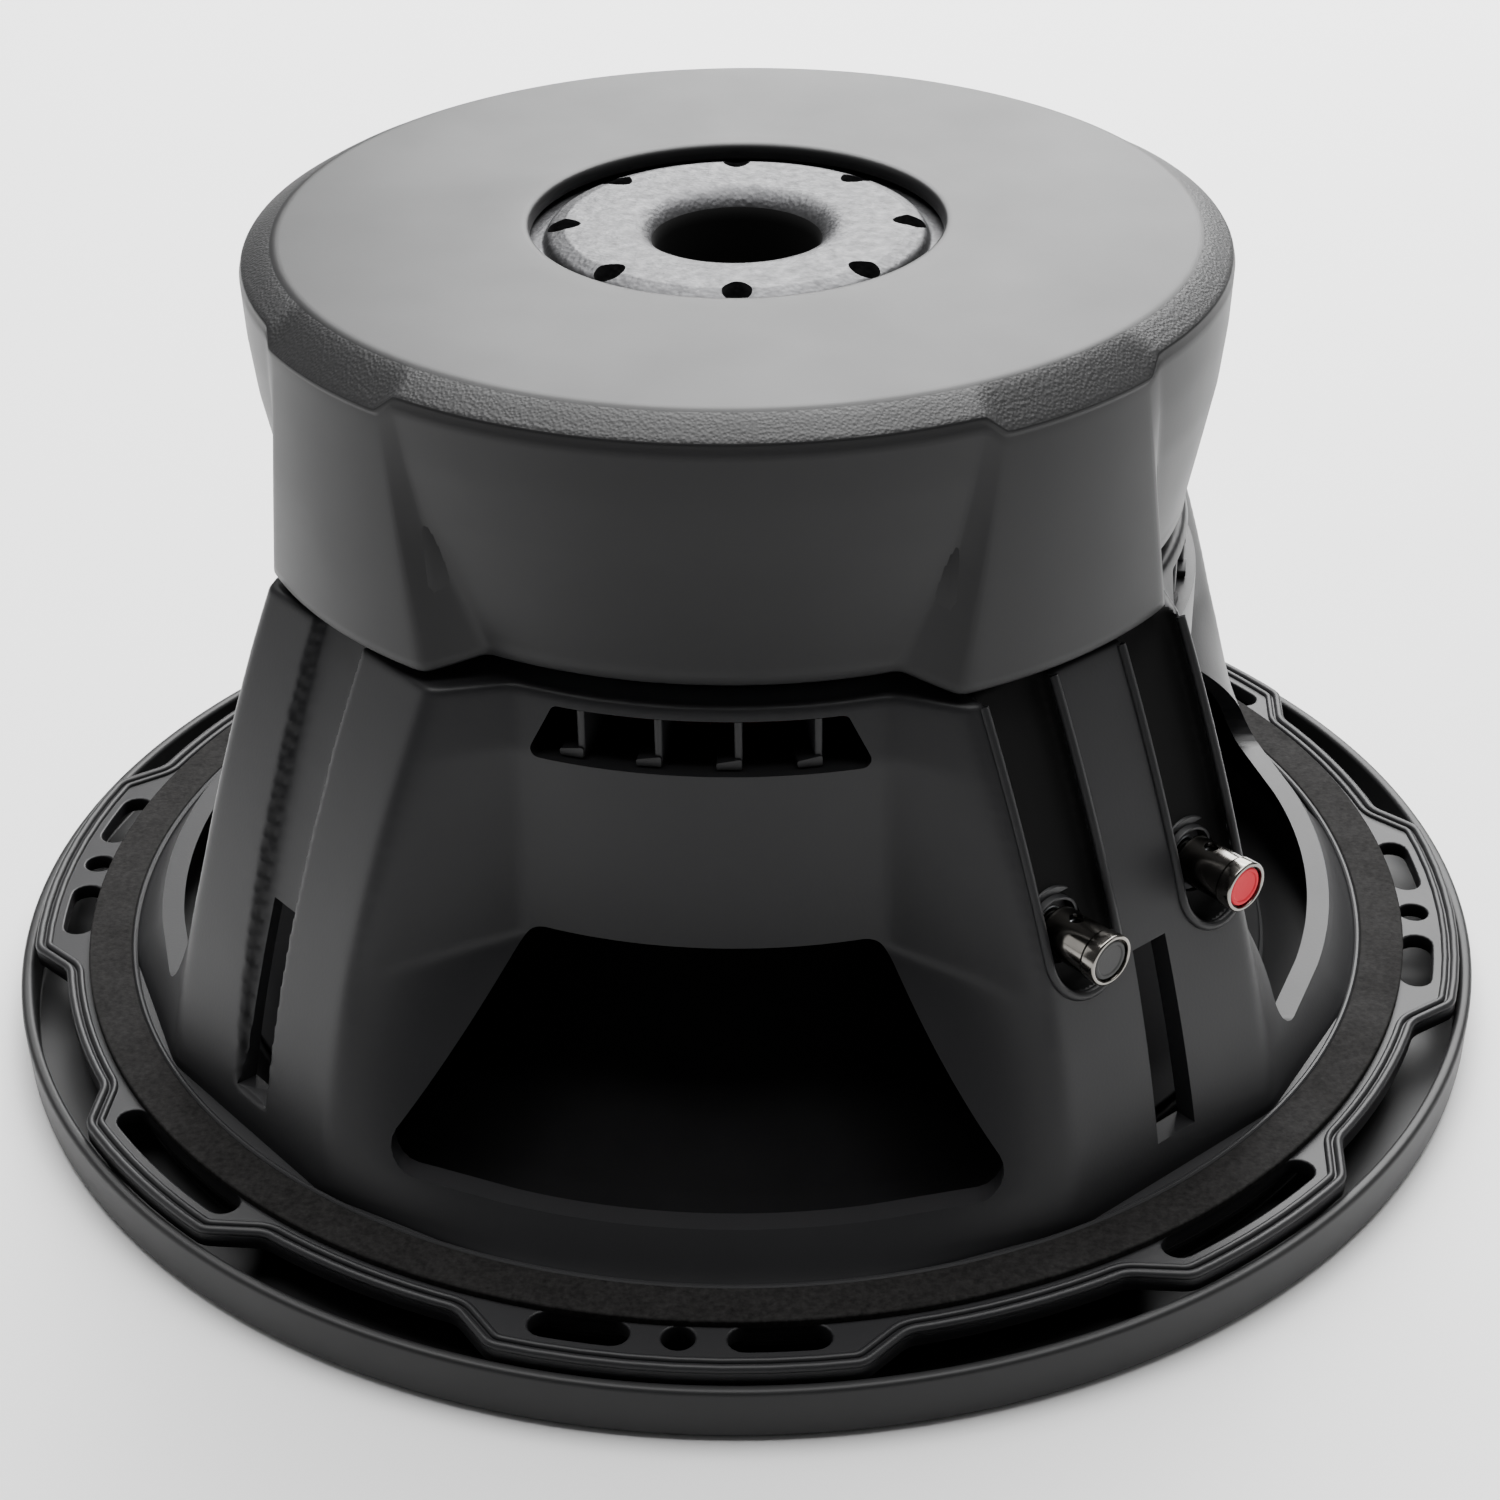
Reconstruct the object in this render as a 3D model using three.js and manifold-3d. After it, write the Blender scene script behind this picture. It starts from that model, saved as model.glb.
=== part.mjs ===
// Car subwoofer speaker, standing on its trim ring with the magnet up. Millimetres, +Z up.
// The origin is the centre of the trim ring's front face, which is the plane z = 0.
import * as THREE from "three";
import { mergeVertices } from "three/addons/utils/BufferGeometryUtils.js";
import Module from "manifold-3d";

const wasm = await Module();
wasm.setup();

// ---- driving dimensions -------------------------------------------------------------------

const GAP = 0.3; // between pieces that touch
const FINE = 48; // segments round the large turned pieces
const MEDIUM = 32;
const SMALL = 12;
const QUARTERS = [0, 90, 180, 270]; // degrees, the windows' directions
const LEG_ANGLES = [45, 135, 225, 315];

const RING = { r: 165, wall: 2.6, height: 12.4, floor: 3, lipInner: 143, lipOuter: 146, lipTop: 9.1 };

const FLANGE = {
  front: 11,
  back: 14.6,
  inner: 134.5,
  recess: 154.5, // outline radius between the lobes
  lobe: 161.8, // outline radius on the lobes
  wide: { tip: 12.8, root: 16.3 }, // half angles of the four lobes with round holes
  narrow: { tip: 8, root: 11.8 }, // half angles of the four lobes with one long slot
};
const BOLT_CIRCLE = 152.7;
const HOLE_R = 3.25;
const SLOT_R = 3.4;
const SHORT_SLOT = { centre: 7.2, half: 2.45 }; // degrees along the bolt circle
const LONG_SLOT = { centre: 0, half: 6.6 };

const GASKET = { inner: 140, outer: 149.5, thick: 1.3 };

const WALL = 4.5; // basket wall thickness
const SEAT = { inner: 46, front: 114.6, back: 118 }; // the motor stands on this plate
const SHELF = { inner: 78, outer: 95, front: 101, back: 104.5 }; // the spider hangs from this ledge
// Outside radius of the basket's window panels, as height and radius.
const PANEL = [
  [FLANGE.front, 138.5],
  [FLANGE.back, 138.5],
  [24, 132.5],
  [62, 97.5],
  [105, 97.5],
  [SEAT.back, 94.5],
];
// Distance of the flat leg faces from the axis, as height and distance.
const LEG_FACE = [
  [FLANGE.back, 135.5],
  [22, 134],
  [66, 122.2],
  [SEAT.back, 100.8],
];
const PANEL_HALF = 36; // sideways from a window's centre line to where the flank starts
const LEG_HALF = 28.5; // sideways from a leg's centre line to the edge of its flat face
const WINDOW = { low: 24, high: 65.4, halfLow: 66.5, halfHigh: 34.5, corner: 6 };
const VENT = { low: 106, high: 112.8, halfLow: 32, halfHigh: 28.5, corner: 1.5 };
const RIB = { angles: [-13.8, -4.6, 4.6, 13.8], inner: 80, outer: 95, thick: 1.6 };
const LEG_SLOT = { half: 4.5, low: 22.5, high: 64 };
const CHANNEL = { depth: 2.5, half: 6.5, low: 18 };
const TERMINAL_CHANNEL = { depth: 2.5, half: 9.6, low: 59 };

const MOTOR_SCREW = { circle: 64, r: 2.5, headR: 4.4, head: 5, length: 12, bore: 2.8 };

const GAP_RADII = { pole: 31.2, formerIn: 32.2, formerOut: 33, coilIn: 33.3, coilOut: 35.4, plate: 36.6 };
const TOP_PLATE = { low: 118.3, high: 130.3, outer: 86 };
const MAGNET = { low: 130.6, high: 161.9, inner: 48, outer: 92 };
const SHORT_RING = { inner: 38.5, outer: 47.6 };
const YOKE = { poleTip: 116.3, low: 162.2, high: 174.2, outer: 90, bump: 38.5, top: 177.4 };
const VENT_BORE = { r: 17, mouth: 25 };
const FLARE_STEPS = 3;
const VENT_HOLE = { r: 2.9, circle: 35.2, count: 8 };

const BOOT = { top: 178.7, disc: 93.8, hole: 42.2, r: 100, low: 119, thick: 2.5, skirt: 95.8 };
// The boot stands out over each leg. Half widths are in degrees, at its top and its lower edge.
const BOOT_PAD = { low: 103, high: 101, halfLow: 15.3, halfHigh: 10.3, blend: 4 };
const BOOT_NOTCH = { top: 123.5, half: 40 };

const FORMER = { low: 49, high: 146 };
const COIL = { low: 106.3, high: 142.3 };
const CONE = { rim: 118, rimIn: 113, rimFront: 11, thick: 1.8, neck: 33.3, neckFront: 57.5 };
const CAP = { r: 50, rimZ: 46.4, rise: 18, thick: 1.2 };
const SPIDER = { inner: 33.3, collar: 38, outer: 92, top: 97.4, thick: 1, fold: 2.4, folds: 3 };
const SPIDER_RING = { inner: 80, outer: 92.5, low: 97.7, high: 100.7 };
const SURROUND = { inner: 112, start: 117.5, end: 139, outer: 149, top: 10.7, roll: 8.9, thick: 1.3 };

const POST = {
  tang: 19, // sideways distance of each terminal from the leg's centre line
  z: 72,
  tip: 131,
  travel: 3,
};
const BASE = { r: 8, back: 109, face: 120.4, floor: 114.7, socket: 5.7 };
const BARREL = { r: 5, bore: 4.1, collar: 5.35, collarLength: 2.2, inside: 118.2, end: 2.6 };
const CORE = { r: 3, back: 108, wireHole: 1.5, wireAt: 123.6, tip: 125 };
const SPRING = { inner: 3.2, outer: 3.9, low: 115.2, high: 127.9 };
const INSERT = { r: 4.1, thick: 1.3 };
const TAB = { wide: 4, thick: 1.2, back: 101 };
const LEAD_R = 1.1;

// ---- helpers ------------------------------------------------------------------------------

const rad = THREE.MathUtils.degToRad;
const point = (r, z) => new THREE.Vector2(r, z);

// Positions only, with shared vertices merged and collapsed triangles dropped.
function closed(geometry) {
  const bare = geometry.clone();
  bare.deleteAttribute("normal");
  bare.deleteAttribute("uv");
  const merged = mergeVertices(bare, 1e-4);
  const index = merged.index.array;
  const kept = [];
  for (let i = 0; i < index.length; i += 3) {
    const [a, b, c] = index.slice(i, i + 3);
    if (a !== b && b !== c && a !== c) kept.push(a, b, c);
  }
  merged.setIndex(kept);
  return merged;
}

function solid(geometry) {
  const g = closed(geometry);
  return new wasm.Manifold(
    new wasm.Mesh({
      numProp: 3,
      vertProperties: new Float32Array(g.attributes.position.array),
      triVerts: new Uint32Array(g.index.array),
    }),
  );
}

function geometryOf(manifold) {
  const m = manifold.getMesh();
  const positions = new Float32Array(m.numVert * 3);
  for (let i = 0; i < m.numVert; i++) {
    positions.set(m.vertProperties.subarray(i * m.numProp, i * m.numProp + 3), i * 3);
  }
  return new THREE.BufferGeometry()
    .setAttribute("position", new THREE.BufferAttribute(positions, 3))
    .setIndex(new THREE.BufferAttribute(m.triVerts, 1));
}

const joined = (pieces) => pieces.reduce((sum, piece) => sum.add(piece));
const without = (body, cutters) => cutters.reduce((left, cutter) => left.subtract(cutter), body);

// A profile of radius and height, listed anticlockwise, turned about Z. It closes on itself.
function turned(profile, segments) {
  const points = profile.map(([r, z]) => point(r, z));
  points.push(points[0].clone());
  return new THREE.LatheGeometry(points, segments).rotateX(Math.PI / 2);
}

const tube = (inner, outer, low, high, segments) =>
  turned([[inner, low], [outer, low], [outer, high], [inner, high]], segments);

// A rod along Z.
function rod(r, low, high, segments = SMALL) {
  return new THREE.CylinderGeometry(r, r, high - low, segments)
    .rotateX(Math.PI / 2)
    .translate(0, 0, (low + high) / 2);
}

// An outline drawn in X and Z, pushed through from one Y to another.
function prismAlongY(shape, from, to) {
  return new THREE.ExtrudeGeometry(shape, { depth: to - from, bevelEnabled: false, curveSegments: 2 })
    .rotateX(Math.PI / 2)
    .translate(0, to, 0);
}

// Turns a piece drawn towards -Y so that it faces the given direction.
const facing = (geometry, degrees) => geometry.clone().rotateZ(rad(degrees));

// The value of a table of [height, value] rows at a height.
function along(table, z) {
  const i = table.findIndex(([height]) => height >= z);
  if (i === 0) return table[0][1];
  if (i < 0) return table[table.length - 1][1];
  const [z0, v0] = table[i - 1];
  const [z1, v1] = table[i];
  return v0 + ((v1 - v0) * (z - z0)) / (z1 - z0);
}

function trapezoid(halfLow, halfHigh, low, high, corner) {
  const corners = [
    point(-halfLow, low),
    point(halfLow, low),
    point(halfHigh, high),
    point(-halfHigh, high),
  ];
  const shape = new THREE.Shape();
  corners.forEach((at, i) => {
    const before = corners[(i + 3) % 4];
    const after = corners[(i + 1) % 4];
    const enter = at.clone().add(before.clone().sub(at).setLength(corner));
    const leave = at.clone().add(after.clone().sub(at).setLength(corner));
    if (i === 0) shape.moveTo(enter.x, enter.y);
    else shape.lineTo(enter.x, enter.y);
    shape.quadraticCurveTo(at.x, at.y, leave.x, leave.y);
  });
  shape.closePath();
  return shape;
}

const rectangle = (half, low, high) =>
  new THREE.Shape([point(-half, low), point(half, low), point(half, high), point(-half, high)]);

// ---- basket -------------------------------------------------------------------------------

// How far the wall stands outside the round panels: flat legs, and straight flanks beside them.
function bulge(degrees, z) {
  const base = along(PANEL, z);
  const face = along(LEG_FACE, z);
  const fromPanel = rad(Math.abs((((degrees % 90) + 135) % 90) - 45));
  const fromLeg = Math.PI / 4 - fromPanel;
  const start = new THREE.Vector2(PANEL_HALF, Math.sqrt(base ** 2 - PANEL_HALF ** 2));
  const rim = new THREE.Vector2(face - LEG_HALF, face + LEG_HALF).multiplyScalar(Math.SQRT1_2);
  let r = base;
  if (fromLeg <= Math.atan2(LEG_HALF, face)) {
    r = face / Math.cos(fromLeg);
  } else if (fromPanel > Math.atan2(start.x, start.y)) {
    const flank = rim.clone().sub(start);
    r = start.cross(flank) / (Math.sin(fromPanel) * flank.y - Math.cos(fromPanel) * flank.x);
  }
  return Math.max(0, Math.min(r, along(PANEL, FLANGE.back)) - base);
}

function basketWall() {
  const outside = PANEL.map(([z, r]) => [r, z]);
  const inside = PANEL.slice(0, -1).map(([z, r]) => [r - WALL, z]);
  inside[0][1] = FLANGE.front;
  const profile = [...outside, [SEAT.inner, SEAT.back], [SEAT.inner, SEAT.front]];
  profile.push([along(PANEL, SEAT.front) - WALL, SEAT.front], ...inside.reverse());
  const wall = turned(profile, FINE);
  const position = wall.attributes.position;
  for (let i = 0; i < position.count; i++) {
    const [x, y, z] = [position.getX(i), position.getY(i), position.getZ(i)];
    const r = Math.hypot(x, y);
    if (r < SHELF.inner) continue;
    const degrees = THREE.MathUtils.radToDeg(Math.atan2(x, -y)) + 360;
    const scale = (r + bulge(degrees, z)) / r;
    position.setXY(i, x * scale, y * scale);
  }
  return solid(wall);
}

function flangeOutline() {
  const shape = new THREE.Shape();
  const at = (degrees, r) => [r * Math.sin(rad(degrees)), -r * Math.cos(rad(degrees))];
  for (let i = 0; i < 8; i++) {
    const centre = 45 * i;
    const lobe = i % 2 ? FLANGE.narrow : FLANGE.wide;
    const next = i % 2 ? FLANGE.wide : FLANGE.narrow;
    const add = (degrees, r) => {
      if (shape.curves.length || shape.currentPoint.length()) shape.lineTo(...at(degrees, r));
      else shape.moveTo(...at(degrees, r));
    };
    for (const share of [-1, 0, 1]) add(centre + lobe.tip * share, FLANGE.lobe);
    const from = centre + lobe.root;
    const to = centre + 45 - next.root;
    for (const share of [0, 0.5, 1]) add(from + (to - from) * share, FLANGE.recess);
  }
  shape.closePath();
  return shape;
}

// A slot along the bolt circle, through the flange.
function flangeSlot(degrees, { half }) {
  const shape = new THREE.Shape();
  const inner = BOLT_CIRCLE - SLOT_R;
  const outer = BOLT_CIRCLE + SLOT_R;
  const start = rad(degrees - half) - Math.PI / 2;
  const end = rad(degrees + half) - Math.PI / 2;
  shape.absarc(0, 0, outer, start, end, false);
  shape.absarc(BOLT_CIRCLE * Math.cos(end), BOLT_CIRCLE * Math.sin(end), SLOT_R, end, end + Math.PI, false);
  shape.absarc(0, 0, inner, end, start, true);
  shape.absarc(
    BOLT_CIRCLE * Math.cos(start),
    BOLT_CIRCLE * Math.sin(start),
    SLOT_R,
    start + Math.PI,
    start + 2 * Math.PI,
    false,
  );
  const height = FLANGE.back - FLANGE.front + 4;
  return solid(
    new THREE.ExtrudeGeometry(shape, { depth: height, bevelEnabled: false, curveSegments: 2 }).translate(
      0,
      0,
      FLANGE.front - 2,
    ),
  );
}

function flange() {
  const plate = new THREE.ExtrudeGeometry(flangeOutline(), {
    depth: FLANGE.back - FLANGE.front,
    bevelEnabled: false,
  }).translate(0, 0, FLANGE.front);
  const cutters = [solid(rod(FLANGE.inner, FLANGE.front - 1, FLANGE.back + 1, FINE))];
  for (const quarter of QUARTERS) {
    const hole = rod(HOLE_R, FLANGE.front - 1, FLANGE.back + 1, 8).translate(0, -BOLT_CIRCLE, 0);
    cutters.push(solid(facing(hole, quarter)));
    cutters.push(flangeSlot(quarter - SHORT_SLOT.centre, SHORT_SLOT));
    cutters.push(flangeSlot(quarter + SHORT_SLOT.centre, SHORT_SLOT));
    cutters.push(flangeSlot(quarter + 45, LONG_SLOT));
  }
  return without(solid(plate), cutters);
}

// A channel sunk into a leg face, drawn from the side and pushed through sideways.
function legChannel(leg, tang, { half, low, depth }) {
  const high = SEAT.back - 2.2;
  const heights = [low, 66, high];
  const shape = new THREE.Shape([
    ...heights.map((z) => point(-along(LEG_FACE, z) + depth, z)),
    point(-along(LEG_FACE, high) - 8, high),
    point(-along(LEG_FACE, low) - 8, low),
  ]);
  const cut = new THREE.ExtrudeGeometry(shape, { depth: 2 * half, bevelEnabled: false });
  // The drawing's X is the leg's outward direction, Y is up, and the push goes sideways.
  const basis = new THREE.Matrix4().makeBasis(
    new THREE.Vector3(0, 1, 0),
    new THREE.Vector3(0, 0, 1),
    new THREE.Vector3(1, 0, 0),
  );
  cut.applyMatrix4(basis).translate(tang - half, 0, 0);
  return solid(facing(cut, leg));
}

function basket() {
  const shelf = tube(SHELF.inner, SHELF.outer, SHELF.front, SHELF.back, FINE);
  const parts = [basketWall(), flange(), solid(shelf)];
  for (const quarter of QUARTERS) {
    for (const angle of RIB.angles) {
      const rib = new THREE.BoxGeometry(RIB.thick, RIB.outer - RIB.inner, SEAT.front - SHELF.back + 1);
      rib.translate(0, -(RIB.outer + RIB.inner) / 2, (SEAT.front + SHELF.back) / 2);
      parts.push(solid(facing(rib, quarter + angle)));
    }
  }
  const cutters = [];
  const { low, high, halfLow, halfHigh, corner } = WINDOW;
  const window = prismAlongY(trapezoid(halfLow, halfHigh, low, high, corner), -175, -86);
  const ventShape = trapezoid(VENT.halfLow, VENT.halfHigh, VENT.low, VENT.high, VENT.corner);
  const vent = prismAlongY(ventShape, -120, -92.6);
  for (const quarter of QUARTERS) {
    cutters.push(solid(facing(window, quarter)), solid(facing(vent, quarter)));
  }
  const slot = prismAlongY(rectangle(LEG_SLOT.half, LEG_SLOT.low, LEG_SLOT.high), -150, -105);
  for (const leg of LEG_ANGLES) {
    cutters.push(solid(facing(slot, leg)));
    if (leg === LEG_ANGLES[0]) continue;
    cutters.push(legChannel(leg, 0, CHANNEL));
  }
  for (const side of [-1, 1]) {
    cutters.push(legChannel(LEG_ANGLES[0], side * POST.tang, TERMINAL_CHANNEL));
    const hole = prismRod(BASE.r + GAP, 100, 130);
    cutters.push(solid(facing(hole.translate(side * POST.tang, 0, 0), LEG_ANGLES[0])));
  }
  for (let i = 0; i < 8; i++) {
    const bore = rod(MOTOR_SCREW.bore, SEAT.front - 1, SEAT.back + 1, 8);
    cutters.push(solid(facing(bore.translate(0, -MOTOR_SCREW.circle, 0), 22.5 + 45 * i)));
  }
  return without(joined(parts), cutters);
}

// A rod along -Y at the terminals' height, between two distances from the speaker's axis.
function prismRod(r, near, far, segments = SMALL) {
  return new THREE.CylinderGeometry(r, r, far - near, segments).translate(0, -(near + far) / 2, POST.z);
}

// ---- scene graph --------------------------------------------------------------------------

const speaker = new THREE.Group();
const frame = new THREE.Group();
const motor = new THREE.Group();
const moving = new THREE.Group();
const terminals = new THREE.Group();
speaker.add(frame, motor, moving, terminals);

const finish = (color, roughness, metalness = 0) =>
  new THREE.MeshStandardMaterial({ color, roughness, metalness });
const FINISH = {
  castBlack: finish(0x2b2b2d, 0.5, 0.1),
  rubber: finish(0x2e2e2f, 0.7),
  gasket: finish(0x3f3c3a, 0.95),
  surround: finish(0x222223, 0.8),
  cone: finish(0x1b1b1c, 0.55),
  cloth: finish(0x8a3b2a, 0.9),
  former: finish(0xb9bcc0, 0.4, 0.8),
  copper: finish(0xb06a3c, 0.4, 0.9),
  steel: finish(0xb4b6ba, 0.45, 0.9),
  ferrite: finish(0x252628, 0.7),
  boot: finish(0x6c6d70, 0.6),
  screw: finish(0x1d1d1f, 0.45, 0.7),
  chrome: finish(0x9a9894, 0.2, 1),
  plastic: finish(0x19191a, 0.55),
  red: finish(0xe22b35, 0.5),
  grey: finish(0x46484a, 0.5),
};

function add(group, name, geometry, material) {
  const mesh = new THREE.Mesh(geometry, material);
  mesh.name = name;
  group.add(mesh);
  return mesh;
}

// ---- frame: basket, gasket, trim ring, spider ring -----------------------------------------

add(frame, "basket", geometryOf(basket()), FINISH.castBlack);

add(
  frame,
  "mounting_gasket",
  tube(GASKET.inner, GASKET.outer, FLANGE.back + GAP, FLANGE.back + GAP + GASKET.thick, FINE),
  FINISH.gasket,
);

function trimRing() {
  const { r, wall, height, floor, lipInner, lipOuter, lipTop } = RING;
  const edge = 0.8;
  return turned(
    [
      [lipInner, 0],
      [r - edge, 0],
      [r, edge],
      [r, height - edge],
      [r - edge, height],
      [r - wall, height],
      [r - wall, floor],
      [lipOuter, floor],
      [lipOuter, lipTop],
      [lipInner, lipTop],
    ],
    FINE,
  );
}
add(frame, "trim_ring", trimRing(), FINISH.rubber);

add(
  frame,
  "spider_ring",
  tube(SPIDER_RING.inner, SPIDER_RING.outer, SPIDER_RING.low, SPIDER_RING.high, MEDIUM),
  FINISH.plastic,
);

// ---- motor ----------------------------------------------------------------------------------

function topPlate() {
  const plate = solid(tube(GAP_RADII.plate, TOP_PLATE.outer, TOP_PLATE.low, TOP_PLATE.high, MEDIUM));
  const cutters = [];
  for (let i = 0; i < 8; i++) {
    const bore = rod(MOTOR_SCREW.bore, TOP_PLATE.low - 1, TOP_PLATE.low + 10.4, 8);
    cutters.push(solid(facing(bore.translate(0, -MOTOR_SCREW.circle, 0), 22.5 + 45 * i)));
  }
  return geometryOf(without(plate, cutters));
}
add(motor, "top_plate", topPlate(), FINISH.steel);

const magnetMiddle = (MAGNET.low + MAGNET.high) / 2;
const magnet = (low, high) => tube(MAGNET.inner, MAGNET.outer, low, high, MEDIUM);
add(motor, "magnet_front", magnet(MAGNET.low, magnetMiddle - GAP / 2), FINISH.ferrite);
add(motor, "magnet_rear", magnet(magnetMiddle + GAP / 2, MAGNET.high), FINISH.ferrite);
add(
  motor,
  "shorting_ring",
  tube(SHORT_RING.inner, SHORT_RING.outer, MAGNET.low, MAGNET.high, MEDIUM),
  FINISH.former,
);

// Back plate and centre pole in one piece, with the flared pole vent and the ring of cooling holes.
function yoke() {
  const { poleTip, low, high, outer, bump, top } = YOKE;
  const flare = [];
  for (let step = 0; step <= FLARE_STEPS; step++) {
    const a = rad((90 * step) / FLARE_STEPS);
    const reach = VENT_BORE.mouth - VENT_BORE.r;
    flare.push([VENT_BORE.mouth - reach * Math.sin(a), top - reach * (1 - Math.cos(a))]);
  }
  const body = turned(
    [
      [VENT_BORE.r, poleTip],
      [GAP_RADII.pole, poleTip],
      [GAP_RADII.pole, low],
      [outer, low],
      [outer, high],
      [bump, high],
      [bump, top - 2.4],
      [bump - 0.8, top - 0.8],
      [bump - 2.6, top],
      ...flare,
    ],
    MEDIUM,
  );
  const cutters = [];
  for (let i = 0; i < VENT_HOLE.count; i++) {
    const hole = rod(VENT_HOLE.r, low - 1, top + 1, 8).translate(0, -VENT_HOLE.circle, 0);
    cutters.push(solid(facing(hole, 5 + (360 / VENT_HOLE.count) * i)));
  }
  return geometryOf(without(solid(body), cutters));
}
add(motor, "yoke", yoke(), FINISH.steel);

function boot() {
  const { top, disc, hole, r, low, thick, skirt } = BOOT;
  const bevel = 172.5;
  const waist = 161;
  const shell = turned(
    [
      [hole, top - thick],
      [disc - 1, top - thick],
      [r - thick, bevel],
      [r - thick, waist],
      [skirt - thick, low],
      [skirt, low],
      [r, waist],
      [r, bevel],
      [r - 1, bevel + 2.9],
      [disc, top],
      [hole, top],
    ],
    FINE,
  );
  const position = shell.attributes.position;
  for (let i = 0; i < position.count; i++) {
    const [x, y, z] = [position.getX(i), position.getY(i), position.getZ(i)];
    const outside = Math.hypot(x, y);
    if (z > bevel + 1 || outside < skirt - thick - 1) continue;
    const share = (bevel - z) / (bevel - low);
    const degrees = THREE.MathUtils.radToDeg(Math.atan2(x, -y)) + 360;
    const fromLeg = Math.abs((degrees % 90) - 45);
    const half = BOOT_PAD.halfHigh + (BOOT_PAD.halfLow - BOOT_PAD.halfHigh) * share;
    const pad = THREE.MathUtils.clamp((half + BOOT_PAD.blend - fromLeg) / BOOT_PAD.blend, 0, 1);
    const round = r + (skirt - r) * THREE.MathUtils.clamp((waist - z) / (waist - low), 0, 1);
    const out = pad * (BOOT_PAD.high + (BOOT_PAD.low - BOOT_PAD.high) * share - round);
    position.setXY(i, (x * (outside + out)) / outside, (y * (outside + out)) / outside);
  }
  const notch = prismAlongY(rectangle(BOOT_NOTCH.half, low - 4, BOOT_NOTCH.top), -110, -70);
  return geometryOf(without(solid(shell), QUARTERS.map((quarter) => solid(facing(notch, quarter)))));
}
add(motor, "magnet_boot", boot(), FINISH.boot);

function motorScrew() {
  const { r, headR, head, length } = MOTOR_SCREW;
  const headTop = SEAT.front - GAP;
  const shank = rod(r, headTop - 0.5, headTop + length, 8);
  return joined([solid(rod(headR, headTop - head, headTop, 12)), solid(shank)]);
}
const screw = geometryOf(motorScrew());
for (let i = 0; i < 8; i++) {
  const mesh = add(motor, `motor_screw_${i + 1}`, screw, FINISH.screw);
  const direction = rad(22.5 + 45 * i);
  mesh.position.set(MOTOR_SCREW.circle * Math.sin(direction), -MOTOR_SCREW.circle * Math.cos(direction), 0);
}

// ---- moving parts: cone, dust cap, voice coil, with the surround and spider that carry them --

function cone() {
  const { rim, rimIn, rimFront, thick, neck, neckFront } = CONE;
  return turned(
    [
      [neck, neckFront],
      [neck + 3, neckFront - 2],
      [rimIn, rimFront],
      [rim, rimFront],
      [rim, rimFront + thick],
      [rimIn + 0.5, rimFront + thick],
      [neck + 3.5, neckFront],
      [neck + 2, neckFront + 6],
      [neck, neckFront + 6],
    ],
    FINE,
  );
}
add(moving, "cone", cone(), FINISH.cone);

// A shallow dome that bulges to the front.
function dustCap() {
  const { r, rimZ, rise, thick } = CAP;
  const steps = 5;
  const dome = (lift) => (step) => {
    const a = (Math.PI / 2) * (step / steps);
    return [r * Math.sin(a), rimZ - rise * Math.cos(a) + lift];
  };
  const rings = Array.from({ length: steps + 1 }, (_, i) => i);
  const front = rings.map(dome(0));
  const back = rings.map(dome(thick)).reverse();
  back[0][0] -= 0.6;
  const points = [...front, ...back].map(([a, z]) => point(a, z));
  return new THREE.LatheGeometry(points, MEDIUM).rotateX(Math.PI / 2);
}
add(moving, "dust_cap", geometryOf(solid(dustCap())), FINISH.cone);

add(
  moving,
  "voice_coil_former",
  tube(GAP_RADII.formerIn, GAP_RADII.formerOut, FORMER.low, FORMER.high, MEDIUM),
  FINISH.former,
);
add(
  moving,
  "voice_coil_winding",
  tube(GAP_RADII.coilIn, GAP_RADII.coilOut, COIL.low, COIL.high, MEDIUM),
  FINISH.copper,
);

// Corrugated disc between the voice coil former and the spider ring.
function spider() {
  const { inner, collar, outer, top, thick, fold, folds } = SPIDER;
  const width = (SPIDER_RING.inner - 2 - collar) / (2 * folds);
  const crest = [[collar, top - fold]];
  for (let i = 1; i < 2 * folds; i++) crest.push([collar + width * i, i % 2 ? top : top - fold]);
  crest.push([SPIDER_RING.inner - 2, top]);
  const upper = [[inner, top - fold], ...crest, [outer, top]];
  const lower = upper.map(([r, z]) => [r, z - thick]);
  return turned([...lower, ...upper.reverse()], MEDIUM);
}
add(moving, "spider", spider(), FINISH.cloth);

// Half roll between the cone's rim and the front of the flange, with a flat edge on each side.
function surround() {
  const { inner, start, end, outer, top, roll, thick } = SURROUND;
  const centre = (start + end) / 2;
  const half = (end - start) / 2;
  const steps = 6;
  const arc = (inset) =>
    Array.from({ length: steps + 1 }, (_, i) => {
      const a = Math.PI * (i / steps);
      return [centre - (half - inset) * Math.cos(a), top - thick + inset - roll * Math.sin(a)];
    });
  const front = [[inner, top - thick], ...arc(0), [outer, top - thick]];
  const back = [[inner, top], ...arc(thick), [outer, top]].reverse();
  return turned([...front, ...back], MEDIUM);
}
add(moving, "surround", surround(), FINISH.surround);

// ---- push terminals --------------------------------------------------------------------------

// Pieces are drawn towards -Y on the leg's centre line, then moved sideways and turned to the leg.
function toLeg(geometry, side) {
  return geometry.clone().translate(side * POST.tang, 0, 0).rotateZ(rad(LEG_ANGLES[0]));
}

function terminalBase() {
  const housing = solid(prismRod(BASE.r, BASE.back, BASE.face));
  const socket = solid(prismRod(BASE.socket, BASE.floor, BASE.face + 2));
  const coreHole = solid(prismRod(CORE.r + GAP, BASE.back - 2, BASE.face + 2));
  return geometryOf(without(housing, [socket, coreHole]));
}

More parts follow.
